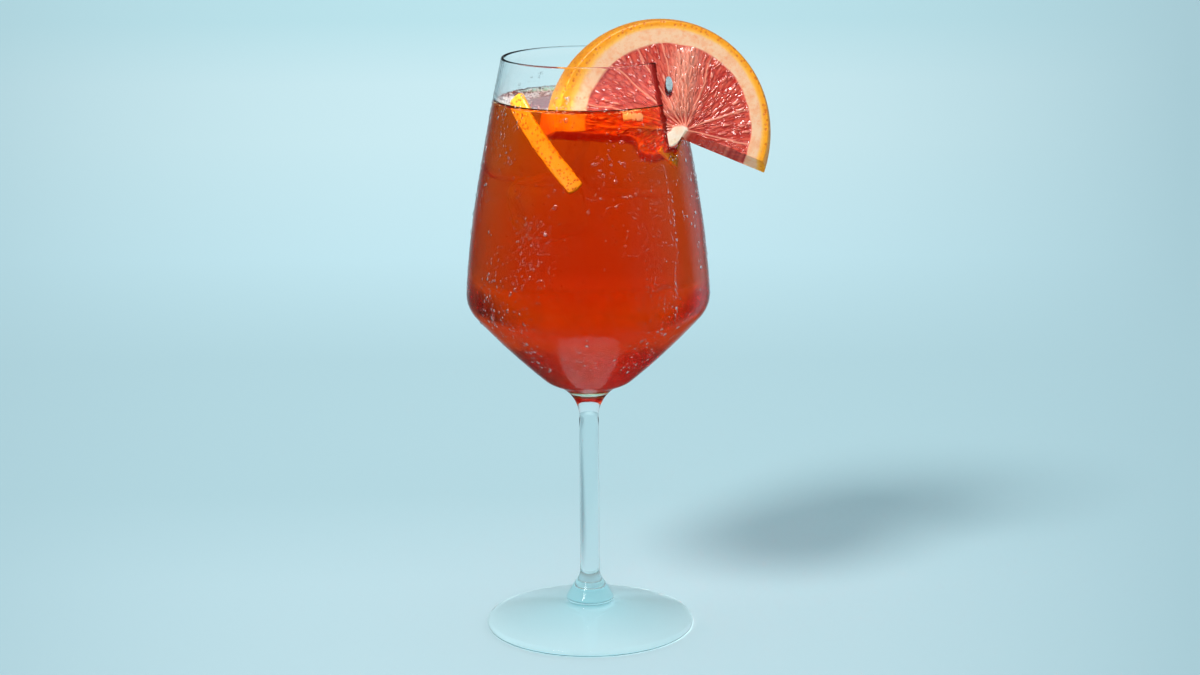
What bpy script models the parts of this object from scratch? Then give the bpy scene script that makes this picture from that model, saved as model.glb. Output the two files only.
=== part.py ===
"""Sparkling aperitif cocktail in a stemmed glass, with a grapefruit half slice and a strip of peel.

Metres, +Z up. The origin is the middle of the foot's flat underside, on the axis of the glass.
-Y is the side that faces the viewer: the slice hangs over the rim on the viewer's right.
"""
import math
import random

import bmesh
import bpy
from mathutils import Vector

MM = 0.001

# Glass: one turned piece, from the rim down to the foot
GLASS_HEIGHT = 220 * MM
RIM_RADIUS = 31.7 * MM          # outside of the rim
RIM_THICKNESS = 1.25 * MM
BELLY_THICKNESS = 1.45 * MM     # wall at the shoulder
FLOOR_THICKNESS = 2.4 * MM      # wall where the bowl's floor begins
STEM_RADIUS = 3.7 * MM
STEM_TOP = 82 * MM
FLARE_TOP = 22 * MM
FOOT_RADIUS = 39.65 * MM
FOOT_EDGE_RADIUS = 1.4 * MM
TURN_STEPS = 44
RIM_BEAD_STEPS = 5
FOOT_EDGE_STEPS = 5

# Outside of the bowl as tangent arcs: radius, and the turn in degrees (negative turns to the axis)
RIM_HEADING = 12.3              # degrees that the wall leans out at the rim, going down
WALL_ARCS = ((1082 * MM, -2.7), (351 * MM, -6.2))
SHOULDER_ARC = (11.3 * MM, -44.9)
BELLY_ARC = (268 * MM, -7.7)
UNDERSIDE_ARC = (12.2 * MM, -21.6)
NECK_ARC = (14.6 * MM, 70.8)

# Drink
LIQUID_LEVEL = 202.8 * MM
GAP = 0.3 * MM                  # kept between touching pieces
CUT_GAP = 0.4 * MM              # round the fruit where the drink is cut away
SLOT_GAP = 0.4 * MM             # between the glass wall and the fruit cut over it
SLOT_BOTTOM = 160 * MM          # below the slice, so that the slot runs right through it

# Grapefruit half slice, in its own plane: u to the right, v up, front face towards the viewer
SLICE_PLACE = Vector((25.8, -13.3, 192.0)) * MM     # middle of the back face's circle
SLICE_TURN = 5.0                # degrees about Z: the left end comes forward
SLICE_LEAN = 5.4                # degrees that the top leans away
SLICE_THICKNESS = 9.6 * MM
BACK_RADII = (41.6 * MM, 42.8 * MM)
FRONT_RADII = (38.6 * MM, 38.8 * MM)
FRONT_SHIFT = (1.0 * MM, 3.5 * MM)
RIND_EDGE_ROUNDING = 0.9 * MM
RIND_BULGE = 0.35 * MM          # the rind's middle stands out from its two edges
RIGHT_END_ANGLE = -19.2         # where the arc ends, in degrees about the circle's middle
LEFT_END_ANGLE = 180.5
CORE_PLACE = (8.0 * MM, -0.6 * MM)
MEMBRANE_ANGLES = (14, 57, 76, 95, 113, 132, 161)   # where they meet the rind, in the same degrees
MEMBRANE_HALF_ANGLE = 1.3
RIND_STEP_ANGLE = 7.5
FLESH_MIDDLE = (3.0 * MM, 1.8 * MM)
FLESH_RADIUS = 31.0 * MM
FLESH_RINGS = (0.14, 0.34, 0.56, 0.78, 0.95)        # shares of the way from the core to the pith
FLESH_MOST = 0.8                # the flesh never takes more than this share of the way to the rind
LOWER_EDGE_FLESH = 0.96         # except along the cut, where it runs nearly to the edge
FLESH_SINK = 0.7 * MM           # the juicy cells lie below the pith and the membranes
FLESH_UNEVEN = 0.2 * MM
PITH_STEP = 0.25 * MM
PITH_BUMP = 0.15 * MM
CORE_RISE = 0.9 * MM
CORE_EDGE_RISE = 0.6            # share of the rise that is left at the first ring
# Lower edge of the half inside the glass, from the rind to the core, with the torn flap
LOWER_EDGE = ((-30, -1.2), (-19, -2.2), (-12, -3.4), (-9.6, -8.2), (-4.5, -9.8), (1.0, -8.2), (5.2, -5.8))
TEAR_PLACE = Vector((29.6, -15.0, 212.2)) * MM
TEAR_RADII = (1.5 * MM, 3.7 * MM)
TEAR_LENGTH = 40 * MM
VIEW_DIP = 8.0                  # degrees that the tear runs down, going back

# Strip of orange peel that leans on the inside of the glass
STRIP_TOP = Vector((-25.6, -15.5, 207.4)) * MM
STRIP_MIDDLE = Vector((-16.3, -29.3, 193.0)) * MM
STRIP_END = Vector((-3.6, -36.6, 176.6)) * MM
STRIP_WIDTH = 5.2 * MM
STRIP_THICKNESS = 2.0 * MM
STRIP_PIECES = 12

# Colours
GLASS_COLOUR = (0.92, 0.97, 0.98, 1.0)
DRINK_COLOUR = (0.62, 0.075, 0.008, 1.0)
GRAPEFRUIT_COLOUR = (0.72, 0.20, 0.10, 1.0)
PEEL_COLOUR = (0.95, 0.42, 0.03, 1.0)


def clear_scene():
    for thing in list(bpy.data.objects):
        bpy.data.objects.remove(thing, do_unlink=True)


def new_collection(name):
    collection = bpy.data.collections.new(name)
    bpy.context.scene.collection.children.link(collection)
    return collection


def new_material(name, colour, roughness, transmission=0.0):
    material = bpy.data.materials.new(name)
    material.use_nodes = True
    shader = material.node_tree.nodes["Principled BSDF"]
    shader.inputs["Base Color"].default_value = colour
    shader.inputs["Roughness"].default_value = roughness
    shader.inputs["Metallic"].default_value = 0.0
    shader.inputs["Transmission Weight"].default_value = transmission
    return material


def new_object(name, mesh, collection, material=None):
    thing = bpy.data.objects.new(name, mesh)
    collection.objects.link(thing)
    if material:
        mesh.materials.append(material)
    return thing


def as_cutter(thing):
    thing.hide_render = True
    thing.display_type = "WIRE"
    return thing


def cut(thing, cutter):
    modifier = thing.modifiers.new("cut " + cutter.name, "BOOLEAN")
    modifier.operation = "DIFFERENCE"
    modifier.object = cutter


def walk(start, heading, moves, chord_turn=7.0, longest=13 * MM):
    """Follow tangent arcs and straights from a start point; returns (radius, z, heading) at each point.

    A heading is in degrees from straight down, positive away from the axis. A move is a pair:
    (radius, turn) for an arc, or (length, 0) for a straight.
    """
    radius, z = start
    points = [(radius, z, heading)]
    for size, turn in moves:
        length = size * math.radians(abs(turn)) if turn else size
        pieces = max(1, math.ceil(abs(turn) / chord_turn), math.ceil(length / longest) if turn else 1)
        for _ in range(pieces):
            middle = math.radians(heading + turn / pieces / 2)
            chord = length / pieces
            radius += chord * math.sin(middle)
            z -= chord * math.cos(middle)
            heading += turn / pieces
            points.append((radius, z, heading))
    return points


def inwards(point, distance):
    """The point moved square to the outline, towards the inside of the bowl."""
    radius, z, heading = point
    angle = math.radians(heading)
    return radius - distance * math.cos(angle), z - distance * math.sin(angle)


def bowl_outside():
    """The bowl's outside from the rim to the end of the belly, with headings."""
    start = (RIM_RADIUS, GLASS_HEIGHT - RIM_THICKNESS / 2)
    return walk(start, RIM_HEADING, (*WALL_ARCS, SHOULDER_ARC, BELLY_ARC))


def wall_thickness(z, shoulder_z, floor_z):
    if z > shoulder_z:
        share = (GLASS_HEIGHT - z) / (GLASS_HEIGHT - shoulder_z)
        return RIM_THICKNESS + (BELLY_THICKNESS - RIM_THICKNESS) * share
    share = (shoulder_z - z) / (shoulder_z - floor_z)
    return BELLY_THICKNESS + (FLOOR_THICKNESS - BELLY_THICKNESS) * share


def bowl_inside(extra=0.0):
    """The bowl's inside from the rim down to the axis, moved in by extra."""
    outside = bowl_outside()
    shoulder_z = max(outside, key=lambda point: point[0])[1]
    floor_z = outside[-1][1]
    inside = [inwards(point, wall_thickness(point[1], shoulder_z, floor_z) + extra) for point in outside]
    radius, z = inside[-1]
    heading = outside[-1][2]
    floor_radius = radius / math.cos(math.radians(heading))
    floor = walk((radius, z), heading, ((floor_radius, -90 - heading),))
    inside += [(point[0], point[1]) for point in floor[1:-1]]
    inside.append((0.0, floor[-1][1]))
    return inside


def glass_outline():
    """The whole outline: inside floor, up to the rim, over it, and down to the foot's middle."""
    outline = list(reversed(bowl_inside()))
    bead_middle = RIM_RADIUS - RIM_THICKNESS / 2
    bead_z = GLASS_HEIGHT - RIM_THICKNESS / 2
    for step in range(1, RIM_BEAD_STEPS):
        angle = math.pi * (1 - step / RIM_BEAD_STEPS)
        outline.append((bead_middle + RIM_THICKNESS / 2 * math.cos(angle),
                        bead_z + RIM_THICKNESS / 2 * math.sin(angle)))
    bowl = bowl_outside()
    outline += [(point[0], point[1]) for point in bowl]
    neck = walk(bowl[-1][:2], bowl[-1][2], (UNDERSIDE_ARC, NECK_ARC), chord_turn=10)
    outline += [(point[0], point[1]) for point in neck[1:-1]]
    outline.append((STEM_RADIUS, STEM_TOP))
    outline.append((STEM_RADIUS, (STEM_TOP + FLARE_TOP) / 2))
    outline += foot_outline()
    return outline


def foot_outline():
    """From the stem's lower end: the bell-shaped flare, its rounded edge, the sloping foot."""
    flare = walk((STEM_RADIUS, FLARE_TOP), 0, (
        (7 * MM, 34),           # the stem widens
        (7.3 * MM, 0),          # straight side of the bell
        (1.5 * MM, -62),        # rounded edge of the bell
        (1.6 * MM, 107),        # hollow under it, out to the foot's slope
    ), chord_turn=20)
    outline = [(point[0], point[1]) for point in flare]
    radius, z, heading = flare[-1]
    slope = math.radians(90 - heading)
    edge_middle = FOOT_RADIUS - FOOT_EDGE_RADIUS
    edge_start = (edge_middle + FOOT_EDGE_RADIUS * math.sin(slope),
                  FOOT_EDGE_RADIUS * (1 + math.cos(slope)))
    halfway = ((radius + edge_start[0]) / 2, (z + edge_start[1]) / 2)
    outline.append(halfway)
    for step in range(FOOT_EDGE_STEPS + 1):
        angle = math.pi / 2 - slope - (math.pi - slope) * step / FOOT_EDGE_STEPS
        outline.append((edge_middle + FOOT_EDGE_RADIUS * math.cos(angle),
                        FOOT_EDGE_RADIUS * (1 + math.sin(angle))))
    outline.append((0.0, 0.0))
    return outline


def turned(name, outline, collection, material=None, closed=False):
    """An outline in the XZ plane turned about Z."""
    mesh = bpy.data.meshes.new(name)
    points = [(radius, 0.0, z) for radius, z in outline]
    edges = [(index, index + 1) for index in range(len(points) - 1)]
    if closed:
        edges.append((len(points) - 1, 0))
    mesh.from_pydata(points, edges, [])
    thing = new_object(name, mesh, collection, material)
    screw = thing.modifiers.new("turn", "SCREW")
    screw.steps = TURN_STEPS
    screw.render_steps = TURN_STEPS
    screw.use_merge_vertices = True
    screw.merge_threshold = 0.00001
    screw.use_smooth_shade = True
    return thing


def drink_outline():
    """The drink's side and floor, a gap inside the glass, from its level down."""
    inside = bowl_inside(extra=GAP)
    below = [point for point in inside if point[1] < LIQUID_LEVEL]
    above = [point for point in inside if point[1] >= LIQUID_LEVEL][-1]
    share = (above[1] - LIQUID_LEVEL) / (above[1] - below[0][1])
    edge = above[0] + (below[0][0] - above[0]) * share
    return [(0.0, LIQUID_LEVEL), (edge, LIQUID_LEVEL)] + below


def slot_outline():
    """A band round the upper wall, wider than the wall on both sides, that cuts the slice."""
    outside = [point for point in bowl_outside() if point[1] > SLOT_BOTTOM]
    outer = [inwards(point, -SLOT_GAP) for point in outside]
    inner = [inwards(point, BELLY_THICKNESS + SLOT_GAP) for point in outside]
    top = GLASS_HEIGHT + SLOT_GAP
    outer[0] = (outer[0][0], top)
    inner[0] = (inner[0][0], top)
    return inner[:1] + outer + list(reversed(inner[1:]))


def ray_to_circle(start, direction, middle, radius):
    """Distance from start along direction to the circle that holds start."""
    offset_u = start[0] - middle[0]
    offset_v = start[1] - middle[1]
    along = offset_u * direction[0] + offset_v * direction[1]
    square = offset_u ** 2 + offset_v ** 2 - radius ** 2
    return -along + math.sqrt(along ** 2 - square)


def slice_layer(depth, grow):
    """Outline of the slice at a depth from 0, the back, to 1, the front: a list of (u, v)."""
    radii = [back + (front - back) * depth + grow for back, front in zip(BACK_RADII, FRONT_RADII)]
    shift = [distance * depth for distance in FRONT_SHIFT]
    outline = []
    for angle in slice_arc_angles():
        outline.append((shift[0] + radii[0] * math.cos(math.radians(angle)),
                        shift[1] + radii[1] * math.sin(math.radians(angle))))
    outline[-1] = (outline[-1][0], outline[-1][1] - grow)
    for u, v in LOWER_EDGE:
        outline.append((u * MM + shift[0], v * MM + shift[1] - grow))
    outline[-1] = (outline[-1][0] + 3 * max(grow, 0.0), outline[-1][1] - grow)
    return outline


def slice_arc_angles():
    """Angles along the rind, close together on both sides of each membrane."""
    angles = [RIGHT_END_ANGLE]
    stops = list(MEMBRANE_ANGLES) + [LEFT_END_ANGLE]
    previous = RIGHT_END_ANGLE
    for stop in stops:
        pieces = max(2, round((stop - previous) / RIND_STEP_ANGLE))
        first = previous + (MEMBRANE_HALF_ANGLE if previous != RIGHT_END_ANGLE else 0)
        last = stop - (MEMBRANE_HALF_ANGLE if stop != LEFT_END_ANGLE else 0)
        start = 1 if first == RIGHT_END_ANGLE else 0
        angles += [first + (last - first) * piece / pieces for piece in range(start, pieces + 1)]
        if stop != LEFT_END_ANGLE:
            angles.append(stop)
        previous = stop
    return angles


def slice_mesh(name, grow=0.0):
    """The half slice as a loft: a back face, the rind and a front face, with the cut's low relief.

    With grow it is the same form, larger all round and with smooth faces, to cut the drink with.
    """
    draw = random.Random(7)
    mesh = bpy.data.meshes.new(name)
    shape = bmesh.new()
    membranes = set(MEMBRANE_ANGLES)
    angles = slice_arc_angles()
    on_ridge = [angle in membranes for angle in angles] + [False] * len(LOWER_EDGE)
    rounding = RIND_EDGE_ROUNDING / SLICE_THICKNESS

    def face_rows(depth, outward):
        """Rings of vertices from the core to the rind on one face."""
        shift = [distance * depth for distance in FRONT_SHIFT]
        core = (CORE_PLACE[0] + shift[0] + 2 * grow, CORE_PLACE[1] + shift[1] - 2 * grow)
        middle = (FLESH_MIDDLE[0] + shift[0], FLESH_MIDDLE[1] + shift[1])
        outline = slice_layer(depth, grow - RIND_EDGE_ROUNDING / 2)
        level = depth * SLICE_THICKNESS + outward * grow
        centre = shape.verts.new((core[0], -(level + outward * CORE_RISE), core[1]))
        rows = []
        for ring in range(len(FLESH_RINGS) + 3):
            row = []
            for index, (u, v) in enumerate(outline):
                reach = math.hypot(u - core[0], v - core[1])
                direction = ((u - core[0]) / reach, (v - core[1]) / reach)
                flesh = min(ray_to_circle(core, direction, middle, FLESH_RADIUS), reach * FLESH_MOST)
                if index >= len(angles):
                    flesh = reach * LOWER_EDGE_FLESH
                if ring < len(FLESH_RINGS):
                    distance = flesh * FLESH_RINGS[ring]
                    uneven = draw.uniform(-FLESH_UNEVEN, FLESH_UNEVEN)
                    sink = PITH_STEP if on_ridge[index] else FLESH_SINK + uneven
                    if grow:
                        sink = -CORE_RISE * (1.0, CORE_EDGE_RISE)[ring] if ring < 2 else -PITH_BUMP
                    elif ring == 0:
                        sink = -CORE_RISE * CORE_EDGE_RISE
                elif ring == len(FLESH_RINGS):
                    distance = flesh
                    sink = 0.0
                elif ring == len(FLESH_RINGS) + 1:
                    distance = (flesh + reach) / 2
                    sink = -draw.uniform(0.0, 1.0) * PITH_BUMP
                else:
                    distance = reach
                    sink = 0.0
                row.append(shape.verts.new((core[0] + direction[0] * distance,
                                            -(level - outward * sink),
                                            core[1] + direction[1] * distance)))
            rows.append(row)
        return centre, rows

    back_centre, back_rows = face_rows(0.0, -1)
    front_centre, front_rows = face_rows(1.0, 1)
    side_rows = []
    for depth in (rounding, 0.5, 1 - rounding):
        bulge = RIND_BULGE if depth == 0.5 else 0.0
        side_rows.append([shape.verts.new((u, -depth * SLICE_THICKNESS, v))
                          for u, v in slice_layer(depth, grow + bulge)])

    count = len(back_rows[0])
    for centre, rows, front in ((back_centre, back_rows, False), (front_centre, front_rows, True)):
        for index in range(count - 1):
            corner = [centre, rows[0][index], rows[0][index + 1]]
            shape.faces.new(corner if front else corner[::-1])
            for inner, outer in zip(rows, rows[1:]):
                quad = [inner[index], outer[index], outer[index + 1], inner[index + 1]]
                shape.faces.new(quad if front else quad[::-1])
    rings = [back_rows[-1]] + side_rows + [front_rows[-1]]
    for lower, upper in zip(rings, rings[1:]):
        for index in range(count - 1):
            shape.faces.new([lower[index], lower[index + 1], upper[index + 1], upper[index]])
    for index, flip in ((0, False), (count - 1, True)):
        edge = ([back_centre] + [row[index] for row in back_rows] + [row[index] for row in side_rows]
                + [row[index] for row in reversed(front_rows)] + [front_centre])
        shape.faces.new(edge if flip else edge[::-1])
    bmesh.ops.triangulate(shape, faces=shape.faces)
    bmesh.ops.recalc_face_normals(shape, faces=shape.faces)
    shape.to_mesh(mesh)
    shape.free()
    return mesh


def place_slice(thing):
    thing.location = SLICE_PLACE
    thing.rotation_euler = (math.radians(-SLICE_LEAN), 0.0, math.radians(SLICE_TURN))


def tear_cutter(collection):
    """An eye-shaped rod that opens the torn place beside the wall."""
    bpy.ops.mesh.primitive_cylinder_add(vertices=14, radius=1.0, depth=TEAR_LENGTH, location=TEAR_PLACE)
    rod = bpy.context.active_object
    rod.name = "tear cutter"
    for old in rod.users_collection:
        old.objects.unlink(rod)
    collection.objects.link(rod)
    for vertex in rod.data.vertices:
        vertex.co.x *= TEAR_RADII[0]
        vertex.co.y *= TEAR_RADII[1]
    rod.rotation_euler = (math.radians(90 + VIEW_DIP), 0.0, 0.0)
    return as_cutter(rod)


def strip_surface(along, across, grow):
    """A point of the bent strip's middle surface; along runs from 0 to 1, across from -1 to 1."""
    reach = (STRIP_END - STRIP_TOP).length
    along = (along - 0.5) * (1 + 2 * grow / reach) + 0.5
    here = (STRIP_TOP * (1 - along) ** 2 + STRIP_MIDDLE * 2 * along * (1 - along)
            + STRIP_END * along ** 2)
    tangent = ((STRIP_MIDDLE - STRIP_TOP) * (1 - along) + (STRIP_END - STRIP_MIDDLE) * along).normalized()
    outward = Vector((here.x, here.y, 0.0)).normalized()
    side = tangent.cross(outward).normalized()
    return here + side * across * (STRIP_WIDTH / 2 + grow)


def peel_strip(name, collection, material=None, grow=0.0):
    """A flat ribbon bent along the strip's curve, then given its thickness."""
    mesh = bpy.data.meshes.new(name)
    shape = bmesh.new()
    bmesh.ops.create_grid(shape, x_segments=STRIP_PIECES, y_segments=2, size=1.0)
    for vertex in shape.verts:
        vertex.co = strip_surface((vertex.co.x + 1) / 2, vertex.co.y, grow)
    shape.to_mesh(mesh)
    shape.free()
    thing = new_object(name, mesh, collection, material)
    solid = thing.modifiers.new("thickness", "SOLIDIFY")
    solid.thickness = STRIP_THICKNESS + 2 * grow
    solid.offset = 0.0
    solid.use_even_offset = True
    return thing


def build():
    clear_scene()
    parts = new_collection("sparkling aperitif cocktail")
    cutters = new_collection("cutters")

    turned("glass", glass_outline(), parts, new_material("clear glass", GLASS_COLOUR, 0.02, 1.0))

    slice_material = new_material("grapefruit", GRAPEFRUIT_COLOUR, 0.35)
    grapefruit = new_object("grapefruit_slice", slice_mesh("grapefruit_slice"), parts, slice_material)
    place_slice(grapefruit)
    cut(grapefruit, as_cutter(turned("slot cutter", slot_outline(), cutters, closed=True)))
    cut(grapefruit, tear_cutter(cutters))

    peel_strip("peel_strip", parts, new_material("orange peel", PEEL_COLOUR, 0.45))

    drink = turned("drink", drink_outline(), parts, new_material("drink", DRINK_COLOUR, 0.03, 0.6))
    slice_space = new_object("slice space", slice_mesh("slice space", grow=CUT_GAP), cutters)
    place_slice(slice_space)
    cut(drink, as_cutter(slice_space))
    cut(drink, as_cutter(peel_strip("strip space", cutters, grow=CUT_GAP)))


build()
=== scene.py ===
# %% [markdown]
# A sparkling aperitif cocktail is a lesson in clear things: a clear glass, a clear drink, clear ice and
# clear water drops, round a few opaque pieces of fruit. What the eye sees in it is mostly light that
# was bent on its way through. So the shapes are made true and fine, and the clear pieces get refractive
# indices close to the real ones. Where a setting isn't real, the text before it says so.

import math
import random

import bmesh
import bpy
from mathutils import Euler, Matrix, Vector, noise


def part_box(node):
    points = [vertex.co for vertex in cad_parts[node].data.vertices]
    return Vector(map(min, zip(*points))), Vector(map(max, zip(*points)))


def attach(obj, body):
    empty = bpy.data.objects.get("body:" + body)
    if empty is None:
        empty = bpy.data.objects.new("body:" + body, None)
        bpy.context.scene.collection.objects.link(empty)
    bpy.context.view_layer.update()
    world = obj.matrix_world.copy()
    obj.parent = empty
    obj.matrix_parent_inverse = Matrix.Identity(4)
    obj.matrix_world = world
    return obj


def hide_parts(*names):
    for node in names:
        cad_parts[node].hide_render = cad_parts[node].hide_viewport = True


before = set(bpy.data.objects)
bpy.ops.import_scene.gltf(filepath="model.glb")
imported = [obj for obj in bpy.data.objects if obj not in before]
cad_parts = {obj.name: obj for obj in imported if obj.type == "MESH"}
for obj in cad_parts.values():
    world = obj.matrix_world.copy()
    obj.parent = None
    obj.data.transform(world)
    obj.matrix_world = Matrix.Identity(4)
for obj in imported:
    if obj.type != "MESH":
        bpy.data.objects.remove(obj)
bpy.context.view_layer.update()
MM = 0.001
glass_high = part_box("glass")[1]
drink_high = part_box("drink")[1]

# %% [markdown]
# The camera stands about a metre away and looks down on the rim by 13 degrees, so that the rim and
# the foot show as flat ellipses. Its place comes from those two ellipses. The picture's middle lies a
# little to the right of the glass, which is a small sideways shift of the lens and not a turn. A shift
# keeps upright things upright, where a turn would make them lean.

# %% Camera
PICTURE_WIDTH = 1200
FOCAL_PIXELS = 2706.2
SENSOR_WIDTH = 36.0
CAMERA_PLACE = Vector((0.0, -993.96, 349.19)) * MM
CAMERA_DIP = 13.342             # degrees below level
CAMERA_ROLL = 0.36              # degrees, the photograph leans a little
AXIS_LEFT_OF_MIDDLE = 11.5      # pixels


def placed(name, data):
    """A new object that holds this data, put into the scene."""
    made = bpy.data.objects.new(name, data)
    bpy.context.scene.collection.objects.link(made)
    return made


camera_data = bpy.data.cameras.new("camera")
camera_data.sensor_width = SENSOR_WIDTH
camera_data.lens = SENSOR_WIDTH * FOCAL_PIXELS / PICTURE_WIDTH
camera_data.shift_x = AXIS_LEFT_OF_MIDDLE / PICTURE_WIDTH
camera = placed("camera", camera_data)
camera.location = CAMERA_PLACE
pitch = Matrix.Rotation(math.radians(90 - CAMERA_DIP), 3, "X")
roll = Matrix.Rotation(math.radians(-CAMERA_ROLL), 3, "Z")
camera.rotation_euler = (pitch @ roll).to_euler()
bpy.context.scene.camera = camera
print("lens in mm", round(camera_data.lens, 1))

# %% [markdown]
# Materials here are written as sums. A node's output is wrapped in a small class, and the arithmetic
# signs add the Math nodes. That way a pattern such as "one minus the pith, times the grain" reads as
# it is said. Colours are mixed by a Mix node, because a Math node would turn them grey.

# %% Shader maths
class Shade:
    """An output of a node. Arithmetic on it adds Math nodes to the same material."""

    def __init__(self, tree, socket=None):
        self.tree = tree
        self.socket = socket

    def node(self, kind, settings=None, inputs=None, output=0):
        """Add a node: its settings first, then values or links for its sockets."""
        made = self.tree.nodes.new(kind)
        for name, value in (settings or {}).items():
            if name == "stops":
                elements = made.color_ramp.elements
                elements[0].position = value[0][0]
                elements[-1].position = value[-1][0]
                for position, _ in value[1:-1]:
                    elements.new(position)
                for element, (_, colour) in zip(elements, value):
                    element.color = colour
            else:
                setattr(made, name, value)
        for key, value in (inputs or {}).items():
            if isinstance(value, Shade):
                self.tree.links.new(value.socket, made.inputs[key])
            else:
                made.inputs[key].default_value = value
        return Shade(self.tree, made.outputs[output])

    def maths(self, operation, *values, clamp=False):
        settings = {"operation": operation, "use_clamp": clamp}
        return self.node("ShaderNodeMath", settings, dict(enumerate(values)))

    def __add__(self, other):
        return self.maths("ADD", self, other)

    __radd__ = __add__

    def __sub__(self, other):
        return self.maths("SUBTRACT", self, other)

    def __rsub__(self, other):
        return self.maths("SUBTRACT", other, self)

    def __mul__(self, other):
        return self.maths("MULTIPLY", self, other)

    __rmul__ = __mul__

    def clamped(self):
        return self.maths("ADD", self, 0.0, clamp=True)

    def step(self, low, high):
        """A smooth rise from 0 at low to 1 at high. With low above high it falls."""
        settings = {"interpolation_type": "SMOOTHSTEP"}
        return self.node("ShaderNodeMapRange", settings, {0: self, 1: low, 2: high})

    def mix(self, low, high):
        """Two colours mixed by this value."""
        return self.node("ShaderNodeMix", {"data_type": "RGBA"}, {0: self, 6: low, 7: high}, 2)

    def place(self):
        """Where a point is on the object, in metres."""
        return self.node("ShaderNodeTexCoord", output=3)

    def part(self, index):
        """One coordinate of this point: 0 is X, 1 is Y and 2 is Z."""
        return self.node("ShaderNodeSeparateXYZ", None, {0: self}, index)

    def stretched(self, x, y, z):
        """The same point with its coordinates multiplied."""
        return self.node("ShaderNodeVectorMath", {"operation": "MULTIPLY"}, {0: self, 1: (x, y, z)})

    def grain(self, scale, detail=2.0, roughness=0.5):
        """Noise at this point."""
        values = {"Vector": self, "Scale": scale, "Detail": detail, "Roughness": roughness}
        return self.node("ShaderNodeTexNoise", None, values)

    def cells(self, scale, randomness=1.0):
        """Distance to the nearest of many scattered points."""
        values = {"Vector": self, "Scale": scale, "Randomness": randomness}
        return self.node("ShaderNodeTexVoronoi", None, values)

    def stored(self, name):
        """A number that the mesh keeps at each of its points."""
        return self.node("ShaderNodeAttribute", {"attribute_name": name}, output=2)

    def bump(self, distance, strength=1.0):
        """A change of the normal, with this value as the height."""
        values = {"Strength": strength, "Distance": distance, "Height": self}
        return self.node("ShaderNodeBump", None, values)


print("shader maths ready")

# %% [markdown]
# Two functions make the materials. One fills in a Principled shader from plain values and from a
# function that makes its links. The other is for everything that is clear, since glass, ice, drink and
# water differ mostly in their refractive index, in how much they reflect and in what they take away.

# %% New materials
def new_material(name, values=None, links=None, takes=None):
    """A Principled material: constant values go on its sockets; links are made by a function.

    Takes is a colour and a density, of a volume that takes light away.
    """
    material = bpy.data.materials.new(name)
    material.use_nodes = True
    tree = material.node_tree
    shader = tree.nodes["Principled BSDF"]
    for key, value in (values or {}).items():
        shader.inputs[key].default_value = value
    if links:
        for key, shade in links(Shade(tree)).items():
            tree.links.new(shade.socket, shader.inputs[key])
    if takes:
        values = dict(zip(("Color", "Density"), takes))
        volume = Shade(tree).node("ShaderNodeVolumeAbsorption", None, values)
        tree.links.new(volume.socket, tree.nodes["Material Output"].inputs["Volume"])
    return material


def clear_material(name, index, tint, links=None, takes=None):
    """A polished clear material. Tint is the share of the usual reflection that its faces keep."""
    values = {"Base Color": (1.0, 1.0, 1.0, 1.0), "Roughness": 0.0, "IOR": index,
              "Transmission Weight": 1.0, "Specular Tint": (tint, tint, tint, 1.0)}
    return new_material(name, values, links, takes)


print("material makers ready")

# %% [markdown]
# Every piece ends up as a named object that rides on the one body of the part. A piece that is made
# as plain mesh data is turned into an object here, and the part of the model that it takes the place
# of, if any, is hidden.

# %% Making a piece
def new_piece(name, mesh, material, replaces=None):
    """A finished object from a mesh, riding on the part's body."""
    piece = placed(name, mesh)
    mesh.materials.append(material)
    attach(piece, "root")
    if replaces:
        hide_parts(replaces)
    triangles = sum(len(face.vertices) - 2 for face in mesh.polygons)
    print(name, len(mesh.vertices), "points,", triangles, "triangles")
    return piece


def mesh_from(name, shape, smooth=True):
    """Mesh data from a bmesh, which is then freed."""
    mesh = bpy.data.meshes.new(name)
    shape.normal_update()
    shape.to_mesh(mesh)
    shape.free()
    if smooth:
        mesh.shade_smooth()
    return mesh


def store(mesh, name, values):
    """Keep one number for each point of the mesh, for its material."""
    layer = mesh.attributes.new(name, "FLOAT", "POINT")
    layer.data.foreach_set("value", values)


print("piece makers ready")

# %% [markdown]
# The setting is a pale blue table that goes on to a backdrop of the same paper. Seen from a metre
# away the paper is a little darker where it leaves the table, and lighter where it rises to the light.
# A large flat sheet does for both here, since the camera looks down and never sees its end. That dip
# and rise are painted into the paper's colour as a slow change with distance: painted shade in the
# dip, painted light on the rise, and painted shade towards both sides. The sheet lies a hair above the
# foot's underside, as if the two were wet, so that the paper shows clearly through the foot.
# Reflections don't see it.

# %% Table
FLOOR_RADIUS = 6.0
FLOOR_LIFT = 0.05 * MM
FLOOR_NEAR = (0.515, 0.69, 0.74, 1.0)
FLOOR_DIP_PAINTED_SHADE = (0.435, 0.62, 0.668, 1.0)
FLOOR_RISE_PAINTED_LIGHT = (0.53, 0.73, 0.785, 1.0)
FLOOR_FAR_PAINTED_LIGHT = (0.59, 0.765, 0.80, 1.0)
FLOOR_END = (0.485, 0.71, 0.755, 1.0)
FLOOR_SIDE_PAINTED_SHADE = (0.37, 0.54, 0.59, 1.0)
FLOOR_MIDDLE = 0.02             # the lightest line leads a little to the left of straight back
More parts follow.
